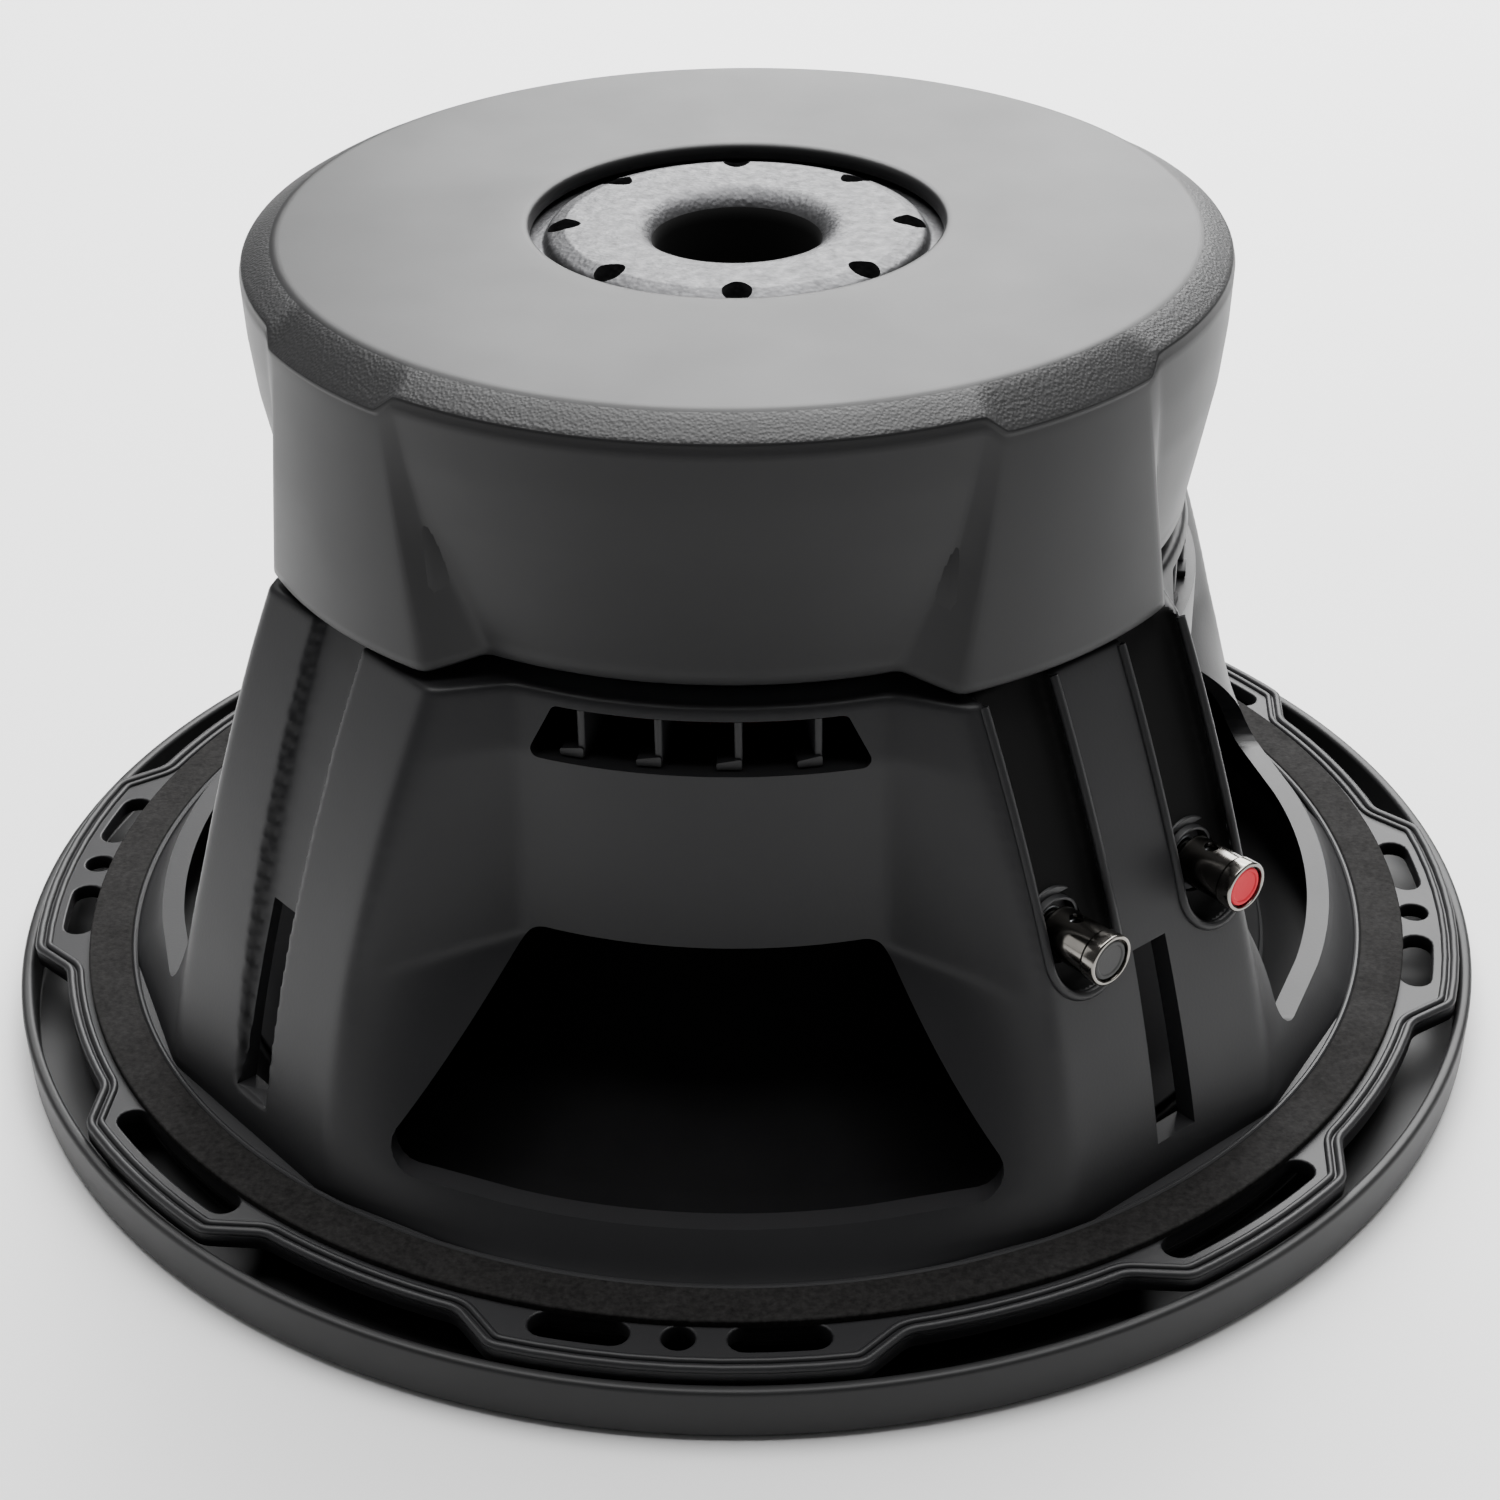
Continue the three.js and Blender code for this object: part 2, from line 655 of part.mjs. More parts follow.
function terminalBarrel() {
  const { r, bore, collar, collarLength, inside, end } = BARREL;
  const outside = solid(prismRod(r, inside, POST.tip)).add(solid(prismRod(collar, POST.tip - collarLength, POST.tip)));
  const wire = new THREE.CylinderGeometry(CORE.wireHole, CORE.wireHole, 14, 12)
    .rotateX(Math.PI / 2)
    .translate(0, -(CORE.wireAt + POST.travel), POST.z);
  const cutters = [
    solid(prismRod(bore, inside - 1, POST.tip - end)),
    solid(prismRod(INSERT.r + GAP, POST.tip - INSERT.thick - GAP, POST.tip + 1)),
    solid(wire),
  ];
  return geometryOf(without(outside, cutters));
}

function terminalCore() {
  const pin = solid(prismRod(CORE.r, CORE.back, CORE.tip));
  const wire = new THREE.CylinderGeometry(CORE.wireHole, CORE.wireHole, 14, 12)
    .rotateX(Math.PI / 2)
    .translate(0, -CORE.wireAt, POST.z);
  return geometryOf(pin.subtract(solid(wire)));
}

function springTube() {
  const body = solid(prismRod(SPRING.outer, SPRING.low, SPRING.high));
  return geometryOf(body.subtract(solid(prismRod(SPRING.inner, SPRING.low - 1, SPRING.high + 1))));
}

const insertDisc = prismRod(INSERT.r, POST.tip - INSERT.thick, POST.tip);

function solderTab() {
  const front = CORE.back - GAP;
  const plate = new THREE.BoxGeometry(TAB.wide, front - TAB.back, TAB.thick);
  return plate.translate(0, -(front + TAB.back) / 2, POST.z);
}

// A flexible lead from the solder tab to the voice coil former, free between its ends.
function lead(side) {
  const start = new THREE.Vector3(side * POST.tang, -(TAB.back - 1.6), POST.z);
  const end = new THREE.Vector3(side * 9, -(GAP_RADII.formerOut + LEAD_R + 0.6), 76);
  const path = new THREE.CatmullRomCurve3([
    start,
    new THREE.Vector3(side * (POST.tang - 1), -90, 71),
    new THREE.Vector3(side * 15, -70, 62),
    new THREE.Vector3(side * 11, -50, 66),
    new THREE.Vector3(side * 9, -38.5, 73),
    end,
  ]);
  const section = new THREE.Shape();
  section.absarc(0, 0, LEAD_R, 0, 2 * Math.PI, false);
  return new THREE.ExtrudeGeometry(section, {
    steps: 16,
    curveSegments: 4,
    bevelEnabled: false,
    extrudePath: path,
  });
}

const shapes = {
  base: terminalBase(),
  barrel: terminalBarrel(),
  core: terminalCore(),
  spring: springTube(),
  tab: solderTab(),
};
for (const [side, label, colour] of [[-1, "negative", FINISH.grey], [1, "positive", FINISH.red]]) {
  add(terminals, `terminal_base_${label}`, toLeg(shapes.base, side), FINISH.plastic);
  add(terminals, `terminal_core_${label}`, toLeg(shapes.core, side), FINISH.chrome);
  add(terminals, `terminal_spring_${label}`, toLeg(shapes.spring, side), FINISH.steel);
  add(terminals, `terminal_barrel_${label}`, toLeg(shapes.barrel, side), FINISH.chrome);
  add(terminals, `terminal_insert_${label}`, toLeg(insertDisc, side), colour);
  add(terminals, `solder_tab_${label}`, toLeg(shapes.tab, side), FINISH.copper);
  add(terminals, `flexible_lead_${label}`, lead(side).rotateZ(rad(LEG_ANGLES[0])), FINISH.copper);
}

export default speaker;
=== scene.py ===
"""Car subwoofer speaker, standing on its trim ring with the magnet up."""

import math

import bmesh
import bpy
import numpy as np
from mathutils import Matrix, Vector


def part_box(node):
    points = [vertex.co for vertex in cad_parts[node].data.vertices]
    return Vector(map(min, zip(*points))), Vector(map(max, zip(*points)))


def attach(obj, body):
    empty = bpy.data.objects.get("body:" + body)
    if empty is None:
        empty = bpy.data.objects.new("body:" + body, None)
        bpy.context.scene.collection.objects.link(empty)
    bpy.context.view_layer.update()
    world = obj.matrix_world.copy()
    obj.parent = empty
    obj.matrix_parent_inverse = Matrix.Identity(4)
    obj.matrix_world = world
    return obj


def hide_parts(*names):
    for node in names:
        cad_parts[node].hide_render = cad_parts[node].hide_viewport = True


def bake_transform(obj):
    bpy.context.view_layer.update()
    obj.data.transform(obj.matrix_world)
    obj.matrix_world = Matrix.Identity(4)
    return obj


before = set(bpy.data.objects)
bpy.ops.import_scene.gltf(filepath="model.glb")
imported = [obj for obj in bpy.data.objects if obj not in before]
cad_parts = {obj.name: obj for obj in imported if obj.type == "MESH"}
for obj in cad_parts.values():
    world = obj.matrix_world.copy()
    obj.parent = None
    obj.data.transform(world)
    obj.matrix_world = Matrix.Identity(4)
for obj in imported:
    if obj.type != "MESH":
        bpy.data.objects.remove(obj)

bl_info = {
    "name": "Car Subwoofer Speaker",
    "version": (1, 0, 0),
    "blender": (4, 5, 0),
    "location": "3D View > Sidebar > Speaker",
    "description": "Builds a car subwoofer speaker piece by piece round its packed frame",
    "category": "Add Mesh",
}

# ---- driving dimensions, in millimetres ----------------------------------------------------
# Angles are in degrees from -Y towards +X. A window faces each quarter, a leg stands between.

MM = 0.001
QUARTERS = (0, 90, 180, 270)
LEGS = (45, 135, 225, 315)
TERMINAL_LEG = 45


def span(node):
    """The lowest and highest corner of a frame node, in millimetres."""
    low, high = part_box(node)
    return low / MM, high / MM


def reach(node):
    """Largest radius of a round frame node."""
    return span(node)[1].x


RING_R = reach("trim_ring")
RING_TOP = span("trim_ring")[1].z
GASKET_LOW, GASKET_HIGH = span("mounting_gasket")[0].z, span("mounting_gasket")[1].z
FLANGE_TOP = GASKET_LOW - 0.3
FLANGE_THICK = 3.6
DECK_TOP = span("basket")[1].z
BOOT_TOP = span("magnet_boot")[1].z
BOOT_TURN = -1.2  # how far the boot sits turned from the basket

PANEL_HALF = 36.0  # sideways from a window's centre line to where the flank starts
LEG_HALF = 28.5  # sideways from a leg's centre line to the edge of its flat face
FOOT_R = 140.0
PANEL = ((14.6, 24.0, 62.0, 105.0, 118.0), (138.5, 132.5, 97.5, 97.5, 94.5))  # heights, radii
WINDOW = {"half_low": 65.5, "half_high": 33.6, "low": 24.0, "high": 65.4, "corner": 5.0}
VENT = {"half_low": 33.6, "half_high": 28.0, "low": 104.6, "high": 115.3, "corner": 1.6}
FIN_ANGLES = (-13.8, -4.6, 4.6, 13.8)
LEG_MIDDLE_Z = 66.0
SLOT = {"depth": 16.0, "half": 5.4, "half_high": 4.6, "low": 22.5, "high": 63.5}
CHANNEL = {"side": (0.7, -2.4), "depth": 2.4, "half": 5.1, "half_high": 8.0, "low": 22.5}
TERMINAL_CHANNELS = ((-16.5, 8.5), (19.7, 7.8))  # middle and half width, sideways
TERMINAL_CHANNEL_LOW = 60.5
TERMINAL_CHANNEL_DEPTH = 3.7
TERMINAL_Z = 72.0
TERMINAL_SIDE = 19.0
TERMINAL_TIP = 131.0

BOLT_CIRCLE = 152.7
LOBE_R, RECESS_R = 161.8, 154.5
WIDE_LOBE, NARROW_LOBE = (12.8, 16.3), (8.0, 11.8)


# ---- geometry helpers ----------------------------------------------------------------------


def around(radius, degrees, z):
    """Points at a radius, an angle from -Y towards +X, and a height."""
    a = np.radians(degrees)
    radius, a, z = np.broadcast_arrays(radius, a, z)
    return np.stack([radius * np.sin(a), -radius * np.cos(a), z], axis=-1)


def turned_to(points, degrees):
    """Points drawn towards -Y, turned to face an angle."""
    a = math.radians(degrees)
    turn = np.array([[math.cos(a), -math.sin(a), 0], [math.sin(a), math.cos(a), 0], [0, 0, 1]])
    return np.asarray(points, float) @ turn.T


def rounded(corners, steps=5):
    """A closed outline with each corner (x, y, radius) rounded by an arc."""
    outline = []
    for i, (x, y, radius) in enumerate(corners):
        here = Vector((x, y))
        before = Vector(corners[i - 1][:2]) - here
        after = Vector(corners[(i + 1) % len(corners)][:2]) - here
        angle = before.angle(after)
        if radius <= 0 or math.pi - angle < 0.02:
            outline.append((x, y))
            continue
        cut = min(radius / math.tan(angle / 2), before.length * 0.49, after.length * 0.49)
        radius = cut * math.tan(angle / 2)
        middle = (before.normalized() + after.normalized()).normalized()
        centre = here + middle * (radius / math.sin(angle / 2))
        start = here + before.normalized() * cut - centre
        sweep = start.angle_signed(here + after.normalized() * cut - centre)
        first = math.atan2(start.y, start.x)
        for k in range(steps + 1):
            a = first - sweep * k / steps
            outline.append((centre.x + radius * math.cos(a), centre.y + radius * math.sin(a)))
    return outline


def new_piece(name, points, faces):
    """An object from points in millimetres, with shared points merged and faces turned out."""
    points = np.asarray(points, float).reshape(-1, 3) * MM
    mesh = bpy.data.meshes.new(name)
    mesh.from_pydata(points.tolist(), [], faces)
    bm = bmesh.new()
    bm.from_mesh(mesh)
    bmesh.ops.remove_doubles(bm, verts=bm.verts, dist=1e-6)
    bmesh.ops.dissolve_degenerate(bm, edges=bm.edges, dist=1e-7)
    bmesh.ops.recalc_face_normals(bm, faces=bm.faces)
    bm.to_mesh(mesh)
    bm.free()
    piece = bpy.data.objects.new(name, mesh)
    bpy.context.scene.collection.objects.link(piece)
    return piece


def grid_faces(rows, columns, close_rows=True):
    """Four-sided faces over closed rows of points, with the last row joined to the first or not."""
    faces = []
    for i in range(rows if close_rows else rows - 1):
        for j in range(columns):
            a, b = i * columns, ((i + 1) % rows) * columns
            c = (j + 1) % columns
            faces.append((a + j, a + c, b + c, b + j))
    return faces


def revolved(name, outline, segments=192):
    """A closed outline of (radius, height), turned about the speaker's axis."""
    outline = np.asarray(outline, float)
    angles = np.arange(segments) * 360.0 / segments
    points = around(outline[None, :, 0], angles[:, None], outline[None, :, 1])
    return new_piece(name, points, grid_faces(segments, len(outline)))


def capped(name, rings, degrees=0):
    """A solid through rings of points, with a face over each end, turned to face an angle."""
    count = len(rings[0])
    last = count * (len(rings) - 1)
    faces = grid_faces(len(rings), count, close_rows=False)
    faces += [tuple(range(count)), tuple(range(last, last + count))]
    return new_piece(name, turned_to(np.reshape(rings, (-1, 3)), degrees), faces)


def prism(name, outline, near, far, degrees):
    """An outline of (sideways, height) pushed through along the direction of an angle."""
    return capped(name, [[(x, -depth, z) for x, z in outline] for depth in (near, far)], degrees)


def column(name, outline, low, high, degrees=0):
    """An outline of (x, y) between two heights, turned to face an angle."""
    return capped(name, [[(x, y, z) for x, y in outline] for z in (low, high)], degrees)


def swept(name, path, radius, sides=8, closed=True):
    """A round bead along a path of points."""
    path = np.asarray(path, float)
    count = len(path)
    if closed:
        along = np.roll(path, -1, 0) - np.roll(path, 1, 0)
    else:
        along = np.gradient(path, axis=0)
    along /= np.linalg.norm(along, axis=1)[:, None]
    turn = np.arange(sides) * 2 * np.pi / sides
    normal = np.cross(along[0], (0.0, 0.0, 1.0) if abs(along[0][2]) < 0.9 else (0.0, 1.0, 0.0))
    rings = []
    for here, ahead in zip(path, along):
        normal = normal - ahead * (normal @ ahead)
        normal /= np.linalg.norm(normal)
        other = np.cross(ahead, normal)
        rings.append(here + radius * (np.outer(np.cos(turn), normal) + np.outer(np.sin(turn), other)))
    if not closed:
        return capped(name, rings)
    return new_piece(name, rings, grid_faces(count, sides))


def settled(piece):
    """Puts a piece's modifiers into its mesh."""
    depsgraph = bpy.context.evaluated_depsgraph_get()
    mesh = bpy.data.meshes.new_from_object(piece.evaluated_get(depsgraph))
    old = piece.data
    piece.modifiers.clear()
    piece.data = mesh
    bpy.data.meshes.remove(old)
    return piece


def joined(name, pieces):
    """One object from several."""
    bm = bmesh.new()
    for piece in pieces:
        bm.from_mesh(piece.data)
        bpy.data.objects.remove(piece)
    mesh = bpy.data.meshes.new(name)
    bm.to_mesh(mesh)
    bm.free()
    result = bpy.data.objects.new(name, mesh)
    bpy.context.scene.collection.objects.link(result)
    return result


def carved(piece, cutters):
    """Takes the cutters, which don't meet each other, out of a piece."""
    cutter = joined("cutter", cutters)
    modifier = piece.modifiers.new("Cut", "BOOLEAN")
    modifier.operation = "DIFFERENCE"
    modifier.solver = "MANIFOLD"
    modifier.object = cutter
    settled(piece)
    bpy.data.objects.remove(cutter)
    return piece


def softened(piece, voxel, passes, keep=1.0):
    """Rounds every edge of a solid as a casting has them."""
    remesh = piece.modifiers.new("Cast", "REMESH")
    remesh.mode = "VOXEL"
    remesh.voxel_size = voxel
    smooth = piece.modifiers.new("Smooth", "SMOOTH")
    smooth.factor = 0.5
    smooth.iterations = passes
    if keep < 1:
        decimate = piece.modifiers.new("Lighten", "DECIMATE")
        decimate.ratio = keep
    return settled(piece)


def dressed(piece, coat, body, nodes=(), sharp=35.0):
    """Shades a piece, gives it its finish, and makes it ride on a body and stand for its nodes."""
    piece.data.materials.clear()
    piece.data.materials.append(finish(coat))
    piece.data.shade_smooth()
    if sharp:
        piece.data.set_sharp_from_angle(angle=math.radians(sharp))
    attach(piece, body)
    if nodes:
        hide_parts(*nodes)
    return piece


def dressed_soft(piece, coat, nodes):
    """Shades a flexing piece, gives it its finish, and makes it stand for its nodes."""
    piece.data.materials.append(finish(coat))
    piece.data.shade_smooth()
    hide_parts(*nodes)
    return piece


# ---- shader groups and finishes --------------------------------------------------------------


def group_shell(name, inputs, outputs):
    """A named shader group with its sockets, and its own input and output nodes."""
    group = bpy.data.node_groups.new(name, "ShaderNodeTree")
    for socket, kind, default in inputs:
        made = group.interface.new_socket(socket, in_out="INPUT", socket_type=kind)
        made.default_value = default
    for socket, kind in outputs:
        group.interface.new_socket(socket, in_out="OUTPUT", socket_type=kind)
    return group, group.nodes.new("NodeGroupInput"), group.nodes.new("NodeGroupOutput")


def noise_in(group, scale_from, detail=4.0, roughness=0.55):
    """A noise over the object's own coordinates, with its scale from a socket."""
    place = group.nodes.new("ShaderNodeTexCoord")
    noise = group.nodes.new("ShaderNodeTexNoise")
    noise.inputs["Detail"].default_value = detail
    noise.inputs["Roughness"].default_value = roughness
    group.links.new(place.outputs["Object"], noise.inputs["Vector"])
    group.links.new(scale_from, noise.inputs["Scale"])
    return noise


def spread_in(group, value, amount):
    """Turns a noise of 0 to 1 into a factor of 1 minus to 1 plus the amount."""
    centred = group.nodes.new("ShaderNodeMath")
    centred.operation = "MULTIPLY_ADD"
    centred.inputs[1].default_value = 4.0
    centred.inputs[2].default_value = -2.0
    group.links.new(value, centred.inputs[0])
    scaled = group.nodes.new("ShaderNodeMath")
    scaled.operation = "MULTIPLY_ADD"
    scaled.inputs[2].default_value = 1.0
    group.links.new(centred.outputs[0], scaled.inputs[0])
    group.links.new(amount, scaled.inputs[1])
    return scaled.outputs[0]


def tone_group():
    """A colour that drifts lighter and darker over the surface."""
    name = "Tone drift"
    if name in bpy.data.node_groups:
        return bpy.data.node_groups[name]
    group, given, result = group_shell(
        name,
        [
            ("Colour", "NodeSocketColor", (0.1, 0.1, 0.1, 1.0)),
            ("Amount", "NodeSocketFloat", 0.1),
            ("Scale", "NodeSocketFloat", 40.0),
        ],
        [("Colour", "NodeSocketColor")],
    )
    noise = noise_in(group, given.outputs["Scale"])
    factor = spread_in(group, noise.outputs["Fac"], given.outputs["Amount"])
    multiply = group.nodes.new("ShaderNodeVectorMath")
    multiply.operation = "SCALE"
    group.links.new(given.outputs["Colour"], multiply.inputs[0])
    group.links.new(factor, multiply.inputs["Scale"])
    group.links.new(multiply.outputs[0], result.inputs["Colour"])
    return group


def polish_group():
    """A roughness that drifts over the surface, as handling and dust leave it."""
    name = "Polish drift"
    if name in bpy.data.node_groups:
        return bpy.data.node_groups[name]
    group, given, result = group_shell(
        name,
        [
            ("Roughness", "NodeSocketFloat", 0.5),
            ("Amount", "NodeSocketFloat", 0.1),
            ("Scale", "NodeSocketFloat", 25.0),
        ],
        [("Roughness", "NodeSocketFloat")],
    )
    noise = noise_in(group, given.outputs["Scale"], detail=6.0)
    factor = spread_in(group, noise.outputs["Fac"], given.outputs["Amount"])
    multiply = group.nodes.new("ShaderNodeMath")
    multiply.operation = "MULTIPLY"
    group.links.new(given.outputs["Roughness"], multiply.inputs[0])
    group.links.new(factor, multiply.inputs[1])
    group.links.new(multiply.outputs[0], result.inputs["Roughness"])
    return group


def grain_group():
    """A height of small rounded grains mixed with a finer noise."""
    name = "Grain"
    if name in bpy.data.node_groups:
        return bpy.data.node_groups[name]
    group, given, result = group_shell(
        name,
        [("Scale", "NodeSocketFloat", 900.0), ("Grains", "NodeSocketFloat", 0.3)],
        [("Height", "NodeSocketFloat")],
    )
    noise = noise_in(group, given.outputs["Scale"], detail=3.0)
    place = group.nodes.new("ShaderNodeTexCoord")
    cells = group.nodes.new("ShaderNodeTexVoronoi")
    cells.feature = "SMOOTH_F1"
    cells.inputs["Smoothness"].default_value = 0.6
    group.links.new(place.outputs["Object"], cells.inputs["Vector"])
    group.links.new(given.outputs["Scale"], cells.inputs["Scale"])
    mix = group.nodes.new("ShaderNodeMix")
    group.links.new(given.outputs["Grains"], mix.inputs["Factor"])
    group.links.new(noise.outputs["Fac"], mix.inputs["A"])
    group.links.new(cells.outputs["Distance"], mix.inputs["B"])
    group.links.new(mix.outputs["Result"], result.inputs["Height"])
    return group


def placed(nodes, group, **values):
    """A shader group placed in a material with its own values."""
    node = nodes.new("ShaderNodeGroup")
    node.node_tree = group
    for socket, value in values.items():
        node.inputs[socket].default_value = value
    return node


def bumped(nodes, links, height_from, height):
    """Raises the surface by a height in millimetres, as a socket says."""
    bump = nodes.new("ShaderNodeBump")
    bump.inputs["Strength"].default_value = 1.0
    bump.inputs["Distance"].default_value = height * MM
    links.new(height_from, bump.inputs["Height"])
    links.new(bump.outputs["Normal"], nodes["Principled BSDF"].inputs["Normal"])


def woven(nodes, links):
    """A plain weave, as two crossed waves."""
    place = nodes.new("ShaderNodeTexCoord")
    weave = nodes.new("ShaderNodeMath")
    weave.operation = "ADD"
    for thread, direction in enumerate(("X", "Y")):
        wave = nodes.new("ShaderNodeTexWave")
        wave.bands_direction = direction
        wave.inputs["Scale"].default_value = 420.0
        wave.inputs["Distortion"].default_value = 0.6
        links.new(place.outputs["Object"], wave.inputs["Vector"])
        links.new(wave.outputs["Fac"], weave.inputs[thread])
    bumped(nodes, links, weave.outputs[0], 0.12)


# A finish's colour is a value or the name of a setting. Tone and polish are the scale and the
# amount of their drift, grain the scale and the share of round grains, height in millimetres.

PLAIN = {
    "metallic": 0.0, "specular": 0.5, "coat": 0.0, "sheen": 0.0, "height": 0.03,
    "tone": (40.0, 0.06), "polish": (25.0, 0.08), "grain": (1200.0, 0.3),
}
INSERT = {"roughness": 0.6, "grain": (1600.0, 0.3), "specular": 0.15}
DARK_STEEL = (0.03, 0.03, 0.032, 1)
FINISHES = {
    "Black powder coat": {
        "colour": "powder_coat", "roughness": 0.42, "grain": (1500.0, 0.35), "height": 0.018,
        "specular": 0.25,
    },
    # Painted shade: near-black colour laid on the terminal channels' floors and sides, standing in
    # for the shade that falls in them.
    "Recess coat": {
        "colour": (0.004, 0.004, 0.004, 1), "roughness": 0.7, "height": 0.02, "specular": 0.1,
    },
    "Trim ring rubber": {
        "colour": "ring_rubber", "roughness": 0.48, "grain": (2200.0, 0.2), "height": 0.008,
        "specular": 0.3,
    },
    "Boot rubber": {
        "colour": "boot_rubber", "roughness": 0.46, "grain": (2500.0, 0.2), "height": 0.01,
        "specular": 0.26,
    },
    "Pebbled rubber": {
        "colour": "boot_rubber", "roughness": 0.55, "grain": (1500.0, 0.8), "height": 0.15,
    },
    "Gasket fibre": {
        "colour": "gasket", "roughness": 0.85, "tone": (900.0, 0.6), "polish": (90.0, 0.1),
        "grain": (1300.0, 0.4), "height": 0.12, "specular": 0.12,
    },
    "Cast back plate": {
        "colour": "back_plate", "roughness": 0.5, "metallic": 0.75, "tone": (700.0, 0.15),
        "polish": (500.0, 0.25), "grain": (1000.0, 0.6), "height": 0.16,
    },
    # Painted shade: near-black colour laid on the vent bore's inner wall, standing in for the shade
    # down the bore.
    "Painted bore": {
        "colour": (0.008, 0.008, 0.008, 1), "roughness": 0.7, "height": 0.0, "specular": 0.15,
    },
    "Turned steel": {
        "colour": (0.4, 0.41, 0.43, 1), "roughness": 0.35, "metallic": 1.0, "height": 0.01,
    },
    "Black nickel plate": {
        "colour": "terminal_plate", "roughness": 0.16, "metallic": 1.0, "tone": (120.0, 0.08),
        "polish": (300.0, 0.25), "grain": (700.0, 0.2), "height": 0.006,
    },
    "Moulded black plastic": {
        "colour": (0.012, 0.012, 0.013, 1), "roughness": 0.45, "height": 0.02,
    },
    "Moulded negative insert": {"colour": "negative_insert", **INSERT},
    "Moulded positive insert": {"colour": "positive_insert", **INSERT},
    "Coated cone": {
        "colour": "cone", "roughness": 0.7, "tone": (90.0, 0.12), "grain": (1100.0, 0.25),
        "height": 0.04, "specular": 0.06,
    },
    "Surround rubber": {
        "colour": "cone", "roughness": 0.6, "grain": (1800.0, 0.3), "height": 0.02,
    },
    "Spider cloth": {
        "colour": "spider", "roughness": 0.75, "tone": (260.0, 0.2), "height": 0.0, "sheen": 0.2,
        "extra": woven,
    },
    "Drawn aluminium": {
        "colour": (0.6, 0.6, 0.62, 1), "roughness": 0.35, "metallic": 1.0, "height": 0.01,
    },
    "Enamelled copper": {
        "colour": "copper", "roughness": 0.3, "metallic": 0.9, "tone": (500.0, 0.15),
        "height": 0.0, "coat": 0.4,
    },
    "Braided copper": {
        "colour": "copper", "roughness": 0.45, "metallic": 0.9, "tone": (900.0, 0.3),
        "grain": (1500.0, 0.9), "height": 0.15,
    },
    "Fired ferrite": {"colour": DARK_STEEL, "roughness": 0.6, "height": 0.05},
    "Black oxide steel": {
        "colour": DARK_STEEL, "roughness": 0.35, "metallic": 0.8, "height": 0.01,
    },
    "Tinned brass": {
        "colour": (0.55, 0.5, 0.38, 1), "roughness": 0.35, "metallic": 1.0, "height": 0.01,
    },
    "Pale floor": {
        "colour": (0.9, 0.9, 0.9, 1), "roughness": 0.8, "tone": (3.0, 0.01), "height": 0.0,
    },
}


def finish(name):
    """The named finish, built once from its values and the shared effects."""
    if name in bpy.data.materials:
        return bpy.data.materials[name]
    made = {**PLAIN, **FINISHES[name]}
    colour = made["colour"]
    if isinstance(colour, str):
        colour = getattr(bpy.context.scene.speaker_finishes, colour)
    material = bpy.data.materials.new(name)
    material.use_nodes = True
    nodes, links = material.node_tree.nodes, material.node_tree.links
    shader = nodes["Principled BSDF"]
    shader.inputs["Metallic"].default_value = made["metallic"]
    shader.inputs["Specular IOR Level"].default_value = made["specular"]
    shader.inputs["Coat Weight"].default_value = made["coat"]
    shader.inputs["Coat Roughness"].default_value = 0.15
    shader.inputs["Sheen Weight"].default_value = made["sheen"]
    scale, amount = made["tone"]
    shades = placed(nodes, tone_group(), Colour=tuple(colour), Scale=scale, Amount=amount)
    links.new(shades.outputs["Colour"], shader.inputs["Base Color"])
    scale, amount = made["polish"]
    drift = placed(nodes, polish_group(), Roughness=made["roughness"], Scale=scale, Amount=amount)
    links.new(drift.outputs["Roughness"], shader.inputs["Roughness"])
    if made["height"]:
        scale, share = made["grain"]
        grains = placed(nodes, grain_group(), Scale=scale, Grains=share)
        bumped(nodes, links, grains.outputs["Height"], made["height"])
    if "extra" in made:
        made["extra"](nodes, links)
    return material


# ---- basket ------------------------------------------------------------------------------------


def from_panel(degrees):
    """Degrees from the nearest window's centre line."""
    return np.abs((np.asarray(degrees) + 45) % 90 - 45)


def panel_radius(z):
    """Outside radius of the round window panels: upright, over a sloping foot."""
    return np.interp(z, *PANEL) + 1.4 * np.exp(-(z - FLANGE_TOP) / 1.5)


def leg_distance(z):
    """Distance of the flat leg faces from the speaker's axis, bending in towards the motor."""
    above = z - LEG_MIDDLE_Z
    return 122.2 - 0.3339 * above - 0.001493 * above**2


def wall_radius(degrees, z):
    """Outside radius of the basket wall at an angle and a height, with crisp creases."""
    f = np.radians(from_panel(degrees))
    panel, leg = panel_radius(z), leg_distance(z)
    start = PANEL_HALF, np.sqrt(panel**2 - PANEL_HALF**2)
    rim = (leg - LEG_HALF) * math.sqrt(0.5), (leg + LEG_HALF) * math.sqrt(0.5)
    along = rim[0] - start[0], rim[1] - start[1]
    crossing = np.where(f < 0.2, 1.0, np.sin(f) * along[1] - np.cos(f) * along[0])
    flank = (start[0] * along[1] - start[1] * along[0]) / crossing
    flat = leg / np.cos(math.pi / 4 - f)
    r = np.where(f < np.arctan2(*start), panel, np.where(f > np.arctan2(*rim), flat, flank))
    return np.minimum(r, FOOT_R)


def eased(values, weights):
    """Rows of values round a circle, each averaged with its neighbours."""
    half = len(weights) // 2
    return sum(w * np.roll(values, k - half, axis=1) for k, w in enumerate(weights))


